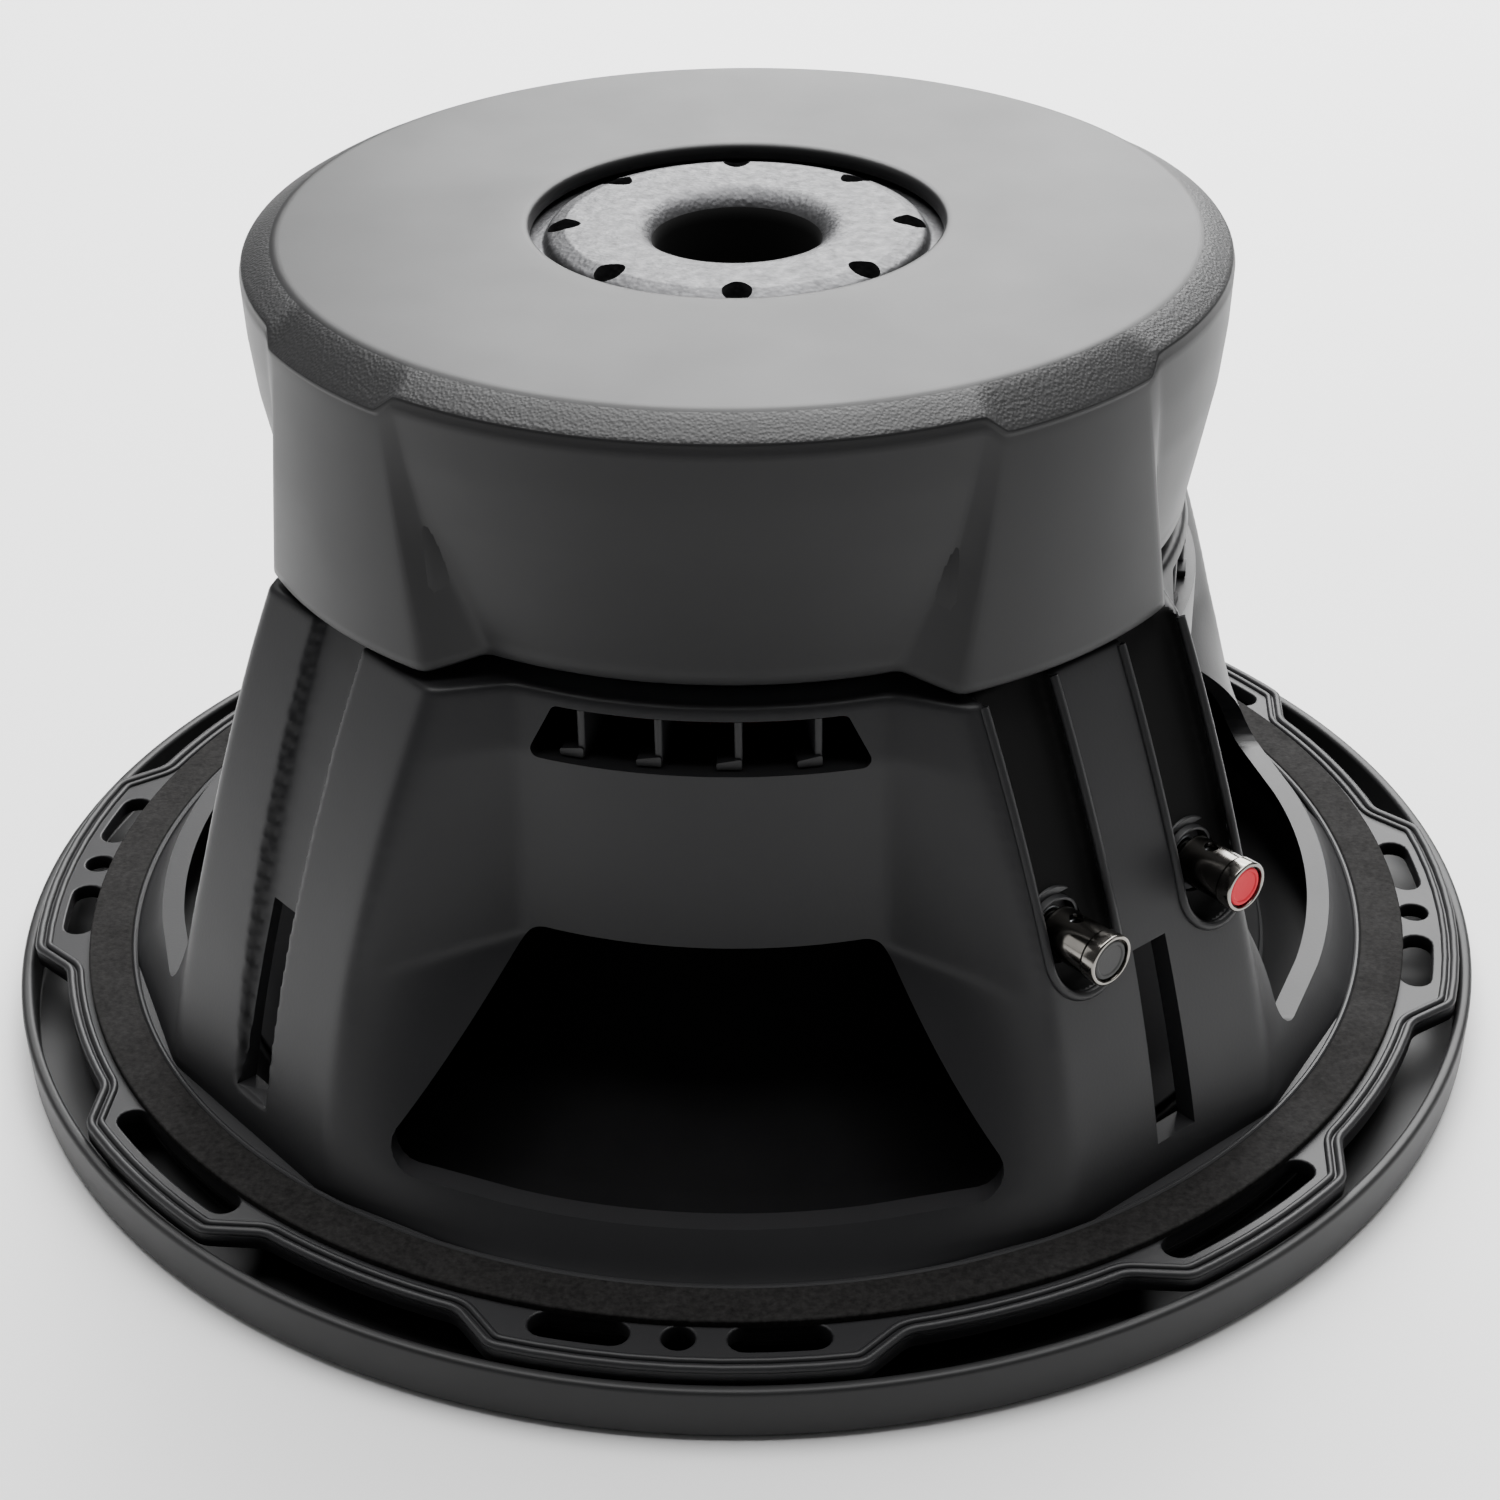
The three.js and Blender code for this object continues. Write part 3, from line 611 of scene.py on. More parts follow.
def basket_shell(sizes):
    """The wall and the motor deck as one closed solid, before anything is cut out of it."""
    columns, edge = 1080, 1.2
    degrees = np.arange(columns) * 360.0 / columns
    foot = np.linspace(FLANGE_TOP - FLANGE_THICK + 0.4, FLANGE_TOP + 8, 16)
    z = np.concatenate([foot, np.linspace(FLANGE_TOP + 10, DECK_TOP - edge, 54)])
    outside = wall_radius(degrees[None, :], np.maximum(z, FLANGE_TOP)[:, None])
    weights = np.exp(-0.5 * (np.arange(-8, 9) / 2.1) ** 2)
    outside = eased(outside, weights / weights.sum())
    thick = sizes.wall_thickness / MM * 1.07
    deck_inner, deck_under = 46.0, DECK_TOP - 3.4
    rows = [around(outside[i], degrees, z[i]) for i in range(len(z))]
    for turn in (30, 60, 90):
        a = math.radians(turn)
        top_r = outside[-1] - edge * (1 - math.cos(a))
        rows.append(around(top_r, degrees, z[-1] + edge * math.sin(a)))
    rows.append(around(deck_inner, degrees, DECK_TOP))
    rows.append(around(deck_inner, degrees, deck_under))
    rows.append(around(outside[-1] - thick, degrees, deck_under))
    for i in reversed(range(len(z) - 2)):
        rows.append(around(outside[i] - thick, degrees, z[i]))
    return new_piece("basket_wall", rows, grid_faces(len(rows), columns))


def trapezoid(half_low, half_high, low, high, corner):
    """A closed outline with round corners."""
    corners = [
        (-half_low, low, corner), (half_low, low, corner),
        (half_high, high, corner), (-half_high, high, corner),
    ]
    return rounded(corners, steps=6)


def leg_cutter(leg, side, depth, half, low, high=DECK_TOP + 3, half_high=None, round_end=False):
    """A channel of even depth that follows a leg face. A pair of sides makes it lean."""
    sides = side if isinstance(side, tuple) else (side, side)
    half_high = half_high or half
    steps, beyond = 10, 14.0
    levels, halves = [], []
    if round_end:
        for k in range(1, steps):
            a = math.radians(90.0 * k / steps)
            levels.append(low + half * (1 - math.cos(a)))
            halves.append(half * math.sin(a))
    first = levels[-1] + 0.3 if levels else low
    for k in range(steps + 1):
        share = k / steps
        levels.append(first + (high - first) * share)
        halves.append(half + (half_high - half) * share)
    rings = []
    for z, w in zip(levels, halves):
        near, far = depth - leg_distance(z), -leg_distance(z) - beyond
        x = np.interp(z, (low, high), sides)
        rings.append([(x - w, near, z), (x + w, near, z), (x + w, far, z), (x - w, far, z)])
    return capped("channel", rings, leg)


def terminal_hole(side, radius=6.5, segments=32):
    """A rod that cuts a terminal's hole through the leg, square to its face."""
    turn = np.arange(segments) * 2 * np.pi / segments
    outline = [(side + radius * math.cos(a), TERMINAL_Z + radius * math.sin(a)) for a in turn]
    return prism("terminal_hole", outline, 98, 130, TERMINAL_LEG)


def channel_cutters():
    """The soft-edged channels down the leg faces."""
    low, depth = TERMINAL_CHANNEL_LOW, TERMINAL_CHANNEL_DEPTH
    cutters = [
        leg_cutter(TERMINAL_LEG, side, depth, half, low, round_end=True)
        for side, half in TERMINAL_CHANNELS
    ]
    return cutters + [leg_cutter(leg, **CHANNEL) for leg in LEGS if leg != TERMINAL_LEG]


def opening_cutters():
    """The windows, vents, leg slots and terminal holes, which have crisp edges."""
    inside, window_outside, vent_outside = 84, 176, 120
    window, vent = trapezoid(**WINDOW), trapezoid(**VENT)
    cutters = [prism("window", window, inside, window_outside, quarter) for quarter in QUARTERS]
    cutters += [prism("vent", vent, inside, vent_outside, quarter) for quarter in QUARTERS]
    for leg in LEGS:
        cutters.append(leg_cutter(leg, 0.3 if leg == TERMINAL_LEG else 0.9, **SLOT))
    return cutters + [terminal_hole(side) for side in (-TERMINAL_SIDE, TERMINAL_SIDE)]


def in_terminal_channel(centre):
    """Whether a point in metres lies on the floor or the sides of a terminal channel."""
    turn = math.radians(-TERMINAL_LEG)
    x, y, z = (value / MM for value in centre)
    side = x * math.cos(turn) - y * math.sin(turn)
    under = leg_distance(z) + x * math.sin(turn) + y * math.cos(turn)
    if z < TERMINAL_CHANNEL_LOW or not 1.0 <= under <= 7.0:
        return False
    return any(abs(side - middle) < half + 0.4 for middle, half in TERMINAL_CHANNELS)


class SPEAKER_OT_basket_wall(bpy.types.Operator):
    """Cast basket wall with its four windows, vents, leg channels and slots"""

    bl_idname = "speaker.basket_wall"
    bl_label = "Basket Wall"

    def execute(self, context):
        sizes = context.scene.speaker_sizes
        shell = carved(basket_shell(sizes), channel_cutters())
        softened(shell, sizes.cast_voxel, 8, keep=0.3)
        carved(shell, opening_cutters())
        ledge = rounded([(78, 101, 0.5), (94.5, 101, 0), (94.5, 104.5, 0), (78, 104.5, 0.5)])
        shell = joined("basket_wall", [shell, revolved("ledge", ledge)])
        dressed(shell, "Black powder coat", "root", ["basket"], sharp=40)
        shell.data.materials.append(finish("Recess coat"))
        # Painted shade: faces on the terminal channels' floors and sides take the near-black finish.
        for face in shell.data.polygons:
            if in_terminal_channel(face.center):
                face.material_index = 1
        return {"FINISHED"}


class SPEAKER_OT_vent_fins(bpy.types.Operator):
    """Thin fins that stand across each vent under the motor"""

    bl_idname = "speaker.vent_fins"
    bl_label = "Vent Fins"

    def execute(self, context):
        blade = rounded([(-0.8, -94.8, 0.5), (0.8, -94.8, 0.5), (0.8, -80, 0), (-0.8, -80, 0)], 3)
        foot = rounded(
            [(-4.2, 105.0, 0.4), (0.6, 105.0, 0.4), (0.6, 107.2, 0.4), (-4.2, 106.4, 0.4)], 3
        )
        fins = []
        for degrees in (quarter + angle for quarter in QUARTERS for angle in FIN_ANGLES):
            fins.append(column("fin", blade, 104.0, DECK_TOP - 3.0, degrees))
            fins.append(prism("foot", foot, 90.5, 95.4, degrees))
        dressed(joined("vent_fins", fins), "Black powder coat", "root")
        return {"FINISHED"}


# ---- flange ------------------------------------------------------------------------------------


def flange_outline(inset=0.0):
    """The flange's lobed edge, moved inwards by an inset, as points of x and y."""
    corners, parts = [], 8
    for i in range(8):
        centre = 45.0 * i
        tip, root = NARROW_LOBE if i % 2 else WIDE_LOBE
        next_root = (WIDE_LOBE if i % 2 else NARROW_LOBE)[1]
        lobe = LOBE_R, centre - tip, 2 * tip
        recess = RECESS_R, centre + root, 45 - next_root - root
        for radius, first, turn in (lobe, recess):
            for k in range(parts + 1):
                a = math.radians(first + turn * k / parts)
                rounding = 6.0 if k in (0, parts) else 0
                corners.append((radius * math.sin(a), -radius * math.cos(a), rounding))
    outline = np.array(rounded(corners, steps=6))
    if inset:
        along = np.roll(outline, -1, 0) - np.roll(outline, 1, 0)
        along /= np.linalg.norm(along, axis=1)[:, None]
        outline = outline + inset * np.stack([-along[:, 1], along[:, 0]], axis=1)
    return outline


def arc_slot(centre, half, half_width=3.4):
    """A slot with round ends along the bolt circle."""
    points = []
    for radius, first, last in (
        (BOLT_CIRCLE + half_width, centre - half, centre + half),
        (BOLT_CIRCLE - half_width, centre + half, centre - half),
    ):
        for k in range(9):
            a = math.radians(first + (last - first) * k / 8)
            points.append((radius * math.sin(a), -radius * math.cos(a)))
        end = math.radians(last)
        x, y = BOLT_CIRCLE * math.sin(end), -BOLT_CIRCLE * math.cos(end)
        outward = end - math.pi / 2 if first < last else end + math.pi / 2
        for k in range(1, 8):
            a = outward + math.pi * k / 8
            points.append((x + half_width * math.cos(a), y + half_width * math.sin(a)))
    return points


def round_hole(radius, degrees, distance, segments=32):
    """A round hole at an angle and a distance from the speaker's axis."""
    a = math.radians(degrees)
    x, y = distance * math.sin(a), -distance * math.cos(a)
    turn = [2 * math.pi * k / segments for k in range(segments)]
    return [(x + radius * math.cos(t), y + radius * math.sin(t)) for t in turn]


def plate(name, outlines, low, high, edge):
    """A flat plate with holes and softly rounded edges, from its outlines."""
    curve = bpy.data.curves.new(name, "CURVE")
    curve.dimensions = "2D"
    curve.fill_mode = "BOTH"
    curve.extrude = (high - low) * MM / 2 - edge * MM
    curve.bevel_depth = edge * MM
    curve.bevel_resolution = 2
    curve.offset = -edge * MM
    for outline in outlines:
        spline = curve.splines.new("POLY")
        spline.points.add(len(outline) - 1)
        for point, (x, y) in zip(spline.points, outline):
            point.co = (x * MM, y * MM, 0, 1)
        spline.use_cyclic_u = True
    source = bpy.data.objects.new(name, curve)
    bpy.context.scene.collection.objects.link(source)
    depsgraph = bpy.context.evaluated_depsgraph_get()
    mesh = bpy.data.meshes.new_from_object(source.evaluated_get(depsgraph))
    bpy.data.objects.remove(source)
    bpy.data.curves.remove(curve)
    mesh.transform(Matrix.Translation((0, 0, (low + high) * MM / 2)))
    made = bpy.data.objects.new(name, mesh)
    bpy.context.scene.collection.objects.link(made)
    return made


class SPEAKER_OT_flange(bpy.types.Operator):
    """Lobed mounting flange with its screw holes and slots"""

    bl_idname = "speaker.flange"
    bl_label = "Flange"

    def execute(self, context):
        outlines = [flange_outline(), round_hole(134.5, 0, 0, 192)]
        for quarter in QUARTERS:
            outlines.append(round_hole(3.25, quarter, BOLT_CIRCLE))
            outlines.append(arc_slot(quarter - 7.2, 2.45))
            outlines.append(arc_slot(quarter + 7.2, 2.45))
            outlines.append(arc_slot(quarter + 45, 6.6))
        flange = plate("flange", outlines, FLANGE_TOP - FLANGE_THICK, FLANGE_TOP, 0.4)
        dressed(flange, "Black powder coat", "root", ["basket"], sharp=40)
        return {"FINISHED"}


class SPEAKER_OT_flange_beads(bpy.types.Operator):
    """Double raised bead along the flange's edge, and the bead round the gasket's seat"""

    bl_idname = "speaker.flange_beads"
    bl_label = "Flange Beads"

    def execute(self, context):
        beads = []
        for inset, radius in ((0.9, 1.0), (3.0, 0.8)):
            outline = flange_outline(inset)
            path = np.column_stack([outline, np.full(len(outline), FLANGE_TOP)])
            beads.append(swept("bead", path, radius, sides=12))
        circle = around(139.4, np.arange(256) * 360 / 256, GASKET_HIGH - 0.7)
        beads.append(swept("bead", circle, 0.7, sides=10))
        dressed(joined("flange_beads", beads), "Black powder coat", "root")
        return {"FINISHED"}


class SPEAKER_OT_gasket(bpy.types.Operator):
    """Flat fibre gasket on the flange's rear face"""

    bl_idname = "speaker.gasket"
    bl_label = "Gasket"

    def execute(self, context):
        low, high = GASKET_LOW - 0.2, GASKET_HIGH
        inner, outer = 140.0, reach("mounting_gasket")
        outline = rounded([(inner, low, 0), (outer, low, 0), (outer, high, 0.5), (inner, high, 0.5)])
        gasket = revolved("gasket", outline, 256)
        dressed(gasket, "Gasket fibre", "root", ["mounting_gasket"])
        return {"FINISHED"}


class SPEAKER_OT_trim_ring(bpy.types.Operator):
    """Rubber trim ring that the speaker stands on"""

    bl_idname = "speaker.trim_ring"
    bl_label = "Trim Ring"

    def execute(self, context):
        lip_top = 9.1
        outline = rounded(
            [
                (143, 0, 0.8), (RING_R - 0.4, 0, 2.6), (RING_R, RING_TOP, 1.1),
                (RING_R - 2.8, RING_TOP, 1.1), (RING_R - 2.8, 3, 0.6), (146, 3, 0.6),
                (146, lip_top, 0.8), (143, lip_top, 0.8),
            ],
            steps=6,
        )
        ring = revolved("trim_ring_rubber", outline, 288)
        dressed(ring, "Trim ring rubber", "root", ["trim_ring"], sharp=50)
        return {"FINISHED"}


# ---- motor -------------------------------------------------------------------------------------


def boot_columns(pad_half, wedge_half, counts=(44, 10, 40, 10, 44)):
    """Angles round the boot, and how far each is from panel (0) to pad (1)."""
    degrees, on_pad = [], []
    for leg in LEGS:
        knots = (-45.0, -wedge_half, -pad_half, pad_half, wedge_half, 45.0)
        shares = (0.0, 0.0, 1.0, 1.0, 0.0, 0.0)
        for k, count in enumerate(counts):
            t = np.arange(count) / count
            degrees.append(leg + BOOT_TURN + knots[k] + (knots[k + 1] - knots[k]) * t)
            on_pad.append(shares[k] + (shares[k + 1] - shares[k]) * t)
    weights = np.array([1, 4, 6, 4, 1]) / 16
    return np.concatenate(degrees), eased(np.concatenate(on_pad)[None, :], weights)[0]


def boot_rows():
    """Rows of points from the boot's hole over the disc, the bevel and the side to its lower edge."""
    hole_r, disc_r, top, under = 42.2, 93.8, BOOT_TOP, BOOT_TOP - 3.2
    pad_half, wedge_half = 10.3, 12.6
    side_top, side_low = 171.0, 123.0
    degrees, pad = boot_columns(pad_half, wedge_half)
    profile = [(hole_r, 1.0), (42.5, 0.4), (43.0, 0.1), (44.0, 0.0)]
    profile += [(r, 0.0) for r in np.linspace(48, disc_r - 1.6, 14)]
    profile += [(disc_r - 0.8, 0.0), (disc_r - 0.1, 0.12), (disc_r + 0.5, 0.4)]
    rows = [around(r, degrees, top - drop) for r, drop in profile]
    bevel_low, bevel_r = 175.0 - 3.3 * pad, 100.2 + 1.4 * pad
    bevel_start = len(rows) - 1
    for share in np.linspace(0.12, 1.0, 7):
        r = disc_r + 0.5 + (bevel_r - disc_r - 0.5) * share
        z = top - 0.4 + (bevel_low - top + 0.4) * share**1.15
        rows.append(around(r, degrees, z))
    bevel_end = len(rows) - 1
    rows.append(around(bevel_r + 0.3, degrees, bevel_low - 0.5))
    rows.append(around(bevel_r + 0.2 - 0.9 * pad, degrees, bevel_low - 1.1))
    side_start = bevel_low - 1.8
    for share in np.linspace(0, 1, 28):
        height = side_top - (side_top - side_low) * share
        wedge = np.interp(height, (124, 148, 172), (20.3, 15.0, wedge_half))
        degrees, pad = boot_columns(pad_half + 5.0 * share, wedge)
        panel_heights = (124.5, 137, 150, 161, 171)
        panel = np.interp(height, panel_heights, (94.25, 96.75, 99.25, 100.4, 100.8))
        r = panel + (101.0 + 2.0 * share - panel) * pad
        low = side_low - 2.6 * pad
        rows.append(around(r, degrees, side_start + (low - side_start) * share))
    radius, edge_z = np.hypot(rows[-1][:, 0], rows[-1][:, 1]), rows[-1][:, 2]
    for inwards, lift in ((0.4, -0.5), (1.6, -0.6), (2.4, 0.6)):
        rows.append(around(radius - inwards, degrees, edge_z + lift))
    rows.append(around(radius - 2.6, degrees, 134.0))
    for r, z in ((97.4, side_top), (92.0, under), (hole_r, under)):
        rows.append(around(r, degrees, z))
    return rows, len(degrees), bevel_start, bevel_end


class SPEAKER_OT_magnet_boot(bpy.types.Operator):
    """Rubber boot over the magnets, with a pebbled bevel and faceted sides"""

    bl_idname = "speaker.magnet_boot"
    bl_label = "Magnet Boot"

    def execute(self, context):
        rows, columns, bevel_start, bevel_end = boot_rows()
        boot = new_piece("magnet_boot_rubber", rows, grid_faces(len(rows), columns))
        dressed(boot, "Boot rubber", "root", ["magnet_boot"], sharp=None)
        boot.data.materials.append(finish("Pebbled rubber"))
        first, beyond = bevel_start * columns, (bevel_end + 1) * columns
        for face in boot.data.polygons:
            if all(first <= corner < beyond for corner in face.vertices):
                face.material_index = 1
        return {"FINISHED"}


def tear_outline(radius, length):
    """A hole that is round at its outer end and drawn out towards the vent, as x and y."""
    turn = np.arange(28) * 2 * np.pi / 28
    stretch = 1 + (length / radius - 1) * np.clip(np.sin(turn), 0, 1) ** 3
    return list(zip(radius * np.cos(turn), radius * np.sin(turn) * stretch))


class SPEAKER_OT_back_plate(bpy.types.Operator):
    """Back plate and centre pole with the flared vent and the ring of cooling holes"""

    bl_idname = "speaker.back_plate"
    bl_label = "Back Plate"

    def execute(self, context):
        low, top = span("yoke")[0].z, span("yoke")[1].z
        plate_low, plate_top, pole_r, plate_r = 162.2, 174.0, 31.2, 90
        bore, mouth, flare_depth = 16.8, 23.0, 6.0
        flare = []
        for k in range(11):
            a = math.radians(9.0 * k)
            z = top - 0.2 - flare_depth * (1 - math.cos(a))
            flare.append((mouth - (mouth - bore) * math.sin(a), z))
        profile = rounded(
            [
                (bore, low, 0.6), (pole_r, low, 0.8), (pole_r, plate_low, 0),
                (plate_r, plate_low, 1.0), (plate_r, plate_top, 1.0), (39.4, plate_top, 0.8),
                (38.6, top - 1.2, 2.2), (35.0, top, 2.0), (mouth + 3, top, 0),
            ],
        )
        body = revolved("back_plate", profile + flare, 256)
        tear = [(x, y - 35.6) for x, y in tear_outline(3.0, 3.9)]
        carved(body, [column("tear", tear, 160.0, top + 2, 5.0 + 45.0 * k) for k in range(8)])
        dressed(body, "Cast back plate", "root", ["yoke"], sharp=30)
        body.data.materials.append(finish("Painted bore"))
        # Painted shade: faces on the bore's inner wall take the near-black finish.
        for face in body.data.polygons:
            if face.center.xy.length < (bore + 0.9) * MM:
                face.material_index = 1
        return {"FINISHED"}


def ring_profile(node, inner, outer, edge, steps):
    """The section of a plain ring as high as its node, with every corner rounded."""
    low, high = span(node)[0].z, span(node)[1].z
    corners = [(inner, low, edge), (outer, low, edge), (outer, high, edge), (inner, high, edge)]
    return rounded(corners, steps)


class SPEAKER_OT_motor_rings(bpy.types.Operator):
    """Magnet rings, shorting ring, top plate and spider ring inside the motor"""

    bl_idname = "speaker.motor_rings"
    bl_label = "Motor Rings"

    def execute(self, context):
        rings = (
            ("top_plate", 36.6, 1.0, "Turned steel", "plated_steel"),
            ("magnet_front", 48.0, 1.4, "Fired ferrite", "ferrite"),
            ("magnet_rear", 48.0, 1.4, "Fired ferrite", "ferrite"),
            ("shorting_ring", 38.5, 0.8, "Drawn aluminium", "bare_aluminium"),
            ("spider_ring", 80.0, 0.6, "Moulded black plastic", "black_plastic"),
        )
        for node, inner, edge, coat, slot in rings:
            ring = revolved(f"{node}_turned", ring_profile(node, inner, reach(node), edge, 4), 160)
            dressed(ring, coat, "root", [node])
        return {"FINISHED"}


class SPEAKER_OT_motor_screws(bpy.types.Operator):
    """Cap screws that hold the motor to the basket"""

    bl_idname = "speaker.motor_screws"
    bl_label = "Motor Screws"

    def execute(self, context):
        low, high = span("motor_screw_1")[0].z, span("motor_screw_1")[1].z
        head, shank, head_top = 4.4, 2.5, low + 5.0
        profile = rounded(
            [
                (0, low, 0), (head, low, 0.5), (head, head_top, 0.4), (shank, head_top, 0),
                (shank, high, 0.5), (0, high, 0),
            ],
            3,
        )
        master = revolved("screw", profile, 32)
        turns = [math.pi * k / 3 for k in range(6)]
        hexagon = [(2.1 * math.cos(a), 2.1 * math.sin(a)) for a in turns]
        carved(master, [column("socket", hexagon, low - 1, low + 2.6)])
        for k in range(8):
            place = around(64.0, 22.5 + 45.0 * k, 0.0) * MM
            mesh = master.data.copy()
            mesh.transform(Matrix.Translation(place.tolist()))
            screw = bpy.data.objects.new(f"cap_screw_{k + 1}", mesh)
            context.scene.collection.objects.link(screw)
            dressed(screw, "Black oxide steel", "root", [f"motor_screw_{k + 1}"])
        bpy.data.objects.remove(master)
        return {"FINISHED"}


# ---- moving parts --------------------------------------------------------------------------------


def dome(rim_r, rim_z, rise):
    """The curve of a dust cap from its tip to its rim, as radius and height."""
    turns = [math.radians(90 * k / 16) for k in range(17)]
    return [(rim_r * math.sin(a), rim_z - rise * math.cos(a)) for a in turns]


class SPEAKER_OT_cone(bpy.types.Operator):
    """Cone and dust cap"""

    bl_idname = "speaker.cone"
    bl_label = "Cone and Dust Cap"

    def execute(self, context):
        neck, rim, front = 33.4, 118.0, span("cone")[0].z
        neck_z, neck_top = 57.5, span("cone")[1].z
        thick, first, last = 1.8, neck + 3, 112.5
        inside, outside = [], []
        for k in range(25):
            share = k / 24
            r = first + (last - first) * share
            z = neck_z - 2 + (front - neck_z + 2) * share - 0.48 * math.sin(math.pi * share)
            inside.append((r, z))
            outside.append((r + 0.6, z + thick + 0.3))
        corners = [(112.6, 0, 0), (rim, 0, 0.6), (rim, thick, 0.6), (113.0, thick, 0)]
        lip = rounded([(r, front + up, edge) for r, up, edge in corners], 3)
        neck_end = [(neck + 2.2, neck_z + 3), (neck + 1.8, neck_top), (neck, neck_top)]
        outline = [(neck, neck_z), *inside, *lip[1:-1], *outside[::-1], *neck_end]
        cone = revolved("cone_body", outline, 224)
        dressed(cone, "Coated cone", "cone_assembly", ["cone"], sharp=50)
        cap_r, cap_z, rise, cap_thick = 50.0, span("dust_cap")[1].z - 1.2, 18.0, 1.2
        back = dome(cap_r - 0.9, cap_z + cap_thick, rise)[::-1]
        cap = revolved("dust_cap_dome", dome(cap_r, cap_z, rise) + back, 160)
        dressed(cap, "Coated cone", "cone_assembly", ["dust_cap"], sharp=50)
        return {"FINISHED"}


class SPEAKER_OT_voice_coil(bpy.types.Operator):
    """Voice coil former and its winding"""

    bl_idname = "speaker.voice_coil"
    bl_label = "Voice Coil"

    def execute(self, context):
        node = "voice_coil_former"
        former = revolved("coil_former", ring_profile(node, 32.2, 33, 0.2, 2), 128)
        dressed(former, "Drawn aluminium", "cone_assembly", [node])
        node = "voice_coil_winding"
        low, high = span(node)[0].z, span(node)[1].z
        turns, inner, groove, crest = 36, 33.3, 35.0, 35.4
        pitch = (high - low) / turns
        outline = [(inner, high), (inner, low)]
        for k in range(turns):
            outline += [(groove, low + k * pitch), (crest, low + (k + 0.5) * pitch)]
        outline.append((groove, high))
        winding = revolved("coil_winding", outline, 128)
        dressed(winding, "Enamelled copper", "cone_assembly", [node], sharp=None)
        return {"FINISHED"}


def follow_the_cone(piece):
    """Puts a piece's placement into its mesh and reads out its points; it bends nothing."""
    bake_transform(piece)
    count = len(piece.data.vertices)
    co = np.empty(count * 3, np.float32)
    piece.data.vertices.foreach_get("co", co)


class SPEAKER_OT_surround(bpy.types.Operator):
    """Rubber half roll between the cone and the flange"""

    bl_idname = "speaker.surround"
    bl_label = "Surround"

    def execute(self, context):
        inner, start, end, outer = 112.2, 117.5, 139.0, reach("surround") - 0.2
        top, roll, thick = span("surround")[1].z, 8.9, 1.3
        middle, half, front = (start + end) / 2, (end - start) / 2, top - thick

        def arc(inset):
            turns = [math.pi * k / 24 for k in range(25)]
            reach_in = half - inset
            return [
                (middle - reach_in * math.cos(a), front + inset - roll * math.sin(a)) for a in turns
            ]

        outline = [(inner, front), *arc(0), (outer, front), (outer, top)]
        outline += [*arc(thick)[::-1], (inner, top)]
        surround = revolved("surround_roll", outline, 256)
        dressed_soft(surround, "Surround rubber", ["surround"])
        follow_the_cone(surround)
        return {"FINISHED"}


class SPEAKER_OT_spider(bpy.types.Operator):
    """Corrugated cloth disc that centres the voice coil"""

    bl_idname = "speaker.spider"
    bl_label = "Spider"

    def execute(self, context):
        inner, collar, start, outer = 33.4, 37.0, 79.0, reach("spider") - 0.2
        top, folds, swing, thick = span("spider")[1].z, 6, 1.15, 0.7
        radii = np.linspace(collar, start, 97)
        turn = 2 * np.pi * folds * (radii - collar) / (start - collar) + np.pi
        wave = top - thick - 1.25 + swing * np.cos(turn)
        sides = []
        for lift, rim_z in ((0.0, top - thick), (thick, top)):
            rim = [(start + 1.2, rim_z), (outer, rim_z)]
            sides.append([(inner, wave[0] + lift), *zip(radii, wave + lift), *rim])
        spider = revolved("spider_cloth", sides[0] + sides[1][::-1], 192)
        dressed_soft(spider, "Spider cloth", ["spider"])
        follow_the_cone(spider)
        return {"FINISHED"}


# ---- terminals -----------------------------------------------------------------------------------


def terminal_turned(name, corners, side, steps=3, segments=64):
    """Corners of (radius, distance from the speaker's axis, rounding), turned about a terminal."""
    outline = np.asarray(rounded(corners, steps), float)
    turn = np.arange(segments)[:, None] * 2 * np.pi / segments
    r, d = outline[None, :, 0], outline[None, :, 1]
    x = side + r * np.cos(turn)
    z = TERMINAL_Z + r * np.sin(turn)
    points = turned_to(np.stack([x, np.broadcast_to(-d, x.shape), z], axis=-1), TERMINAL_LEG)
    return new_piece(name, points, grid_faces(segments, len(outline)))


def cross_rod(side, distance, radius=1.5, reach_up=14):
    """An upright rod that cuts the wire hole."""
    turns = np.arange(20) * 2 * np.pi / 20
    circle = [(side + radius * math.cos(a), -distance + radius * math.sin(a)) for a in turns]
    low, high = TERMINAL_Z - reach_up, TERMINAL_Z + reach_up
    return column("wire_hole", circle, low, high, TERMINAL_LEG)


HOUSING = (
    (3.4, 109, 0), (8, 109, 0.4), (8, 114.2, 0.2), (6.4, 114.2, 0), (6.4, 115.8, 0.2),
    (5.7, 115.8, 0.2), (5.7, 112.9, 0), (3.4, 112.9, 0),
)
PIN = ((0, 108, 0), (3, 108, 0.3), (3, 125, 0.5), (0, 125, 0))
BUTTON = (
    (4.1, 116.5, 0.1), (5.0, 116.5, 0.25), (5.0, TERMINAL_TIP - 3.6, 0.3),
    (5.35, TERMINAL_TIP - 3.1, 0.3), (5.35, TERMINAL_TIP, 0.7), (4.45, TERMINAL_TIP, 0.25),
    (4.45, TERMINAL_TIP - 1.8, 0), (0, TERMINAL_TIP - 1.8, 0), (0, TERMINAL_TIP - 2.6, 0),
    (4.1, TERMINAL_TIP - 2.6, 0),
)
DISC = (
    (0, TERMINAL_TIP - 1.6, 0), (4.1, TERMINAL_TIP - 1.6, 0), (4.1, TERMINAL_TIP - 0.35, 0.4),
    (3.3, TERMINAL_TIP - 0.35, 0.3), (3.1, TERMINAL_TIP - 0.6, 0.2), (0, TERMINAL_TIP - 0.6, 0),
)
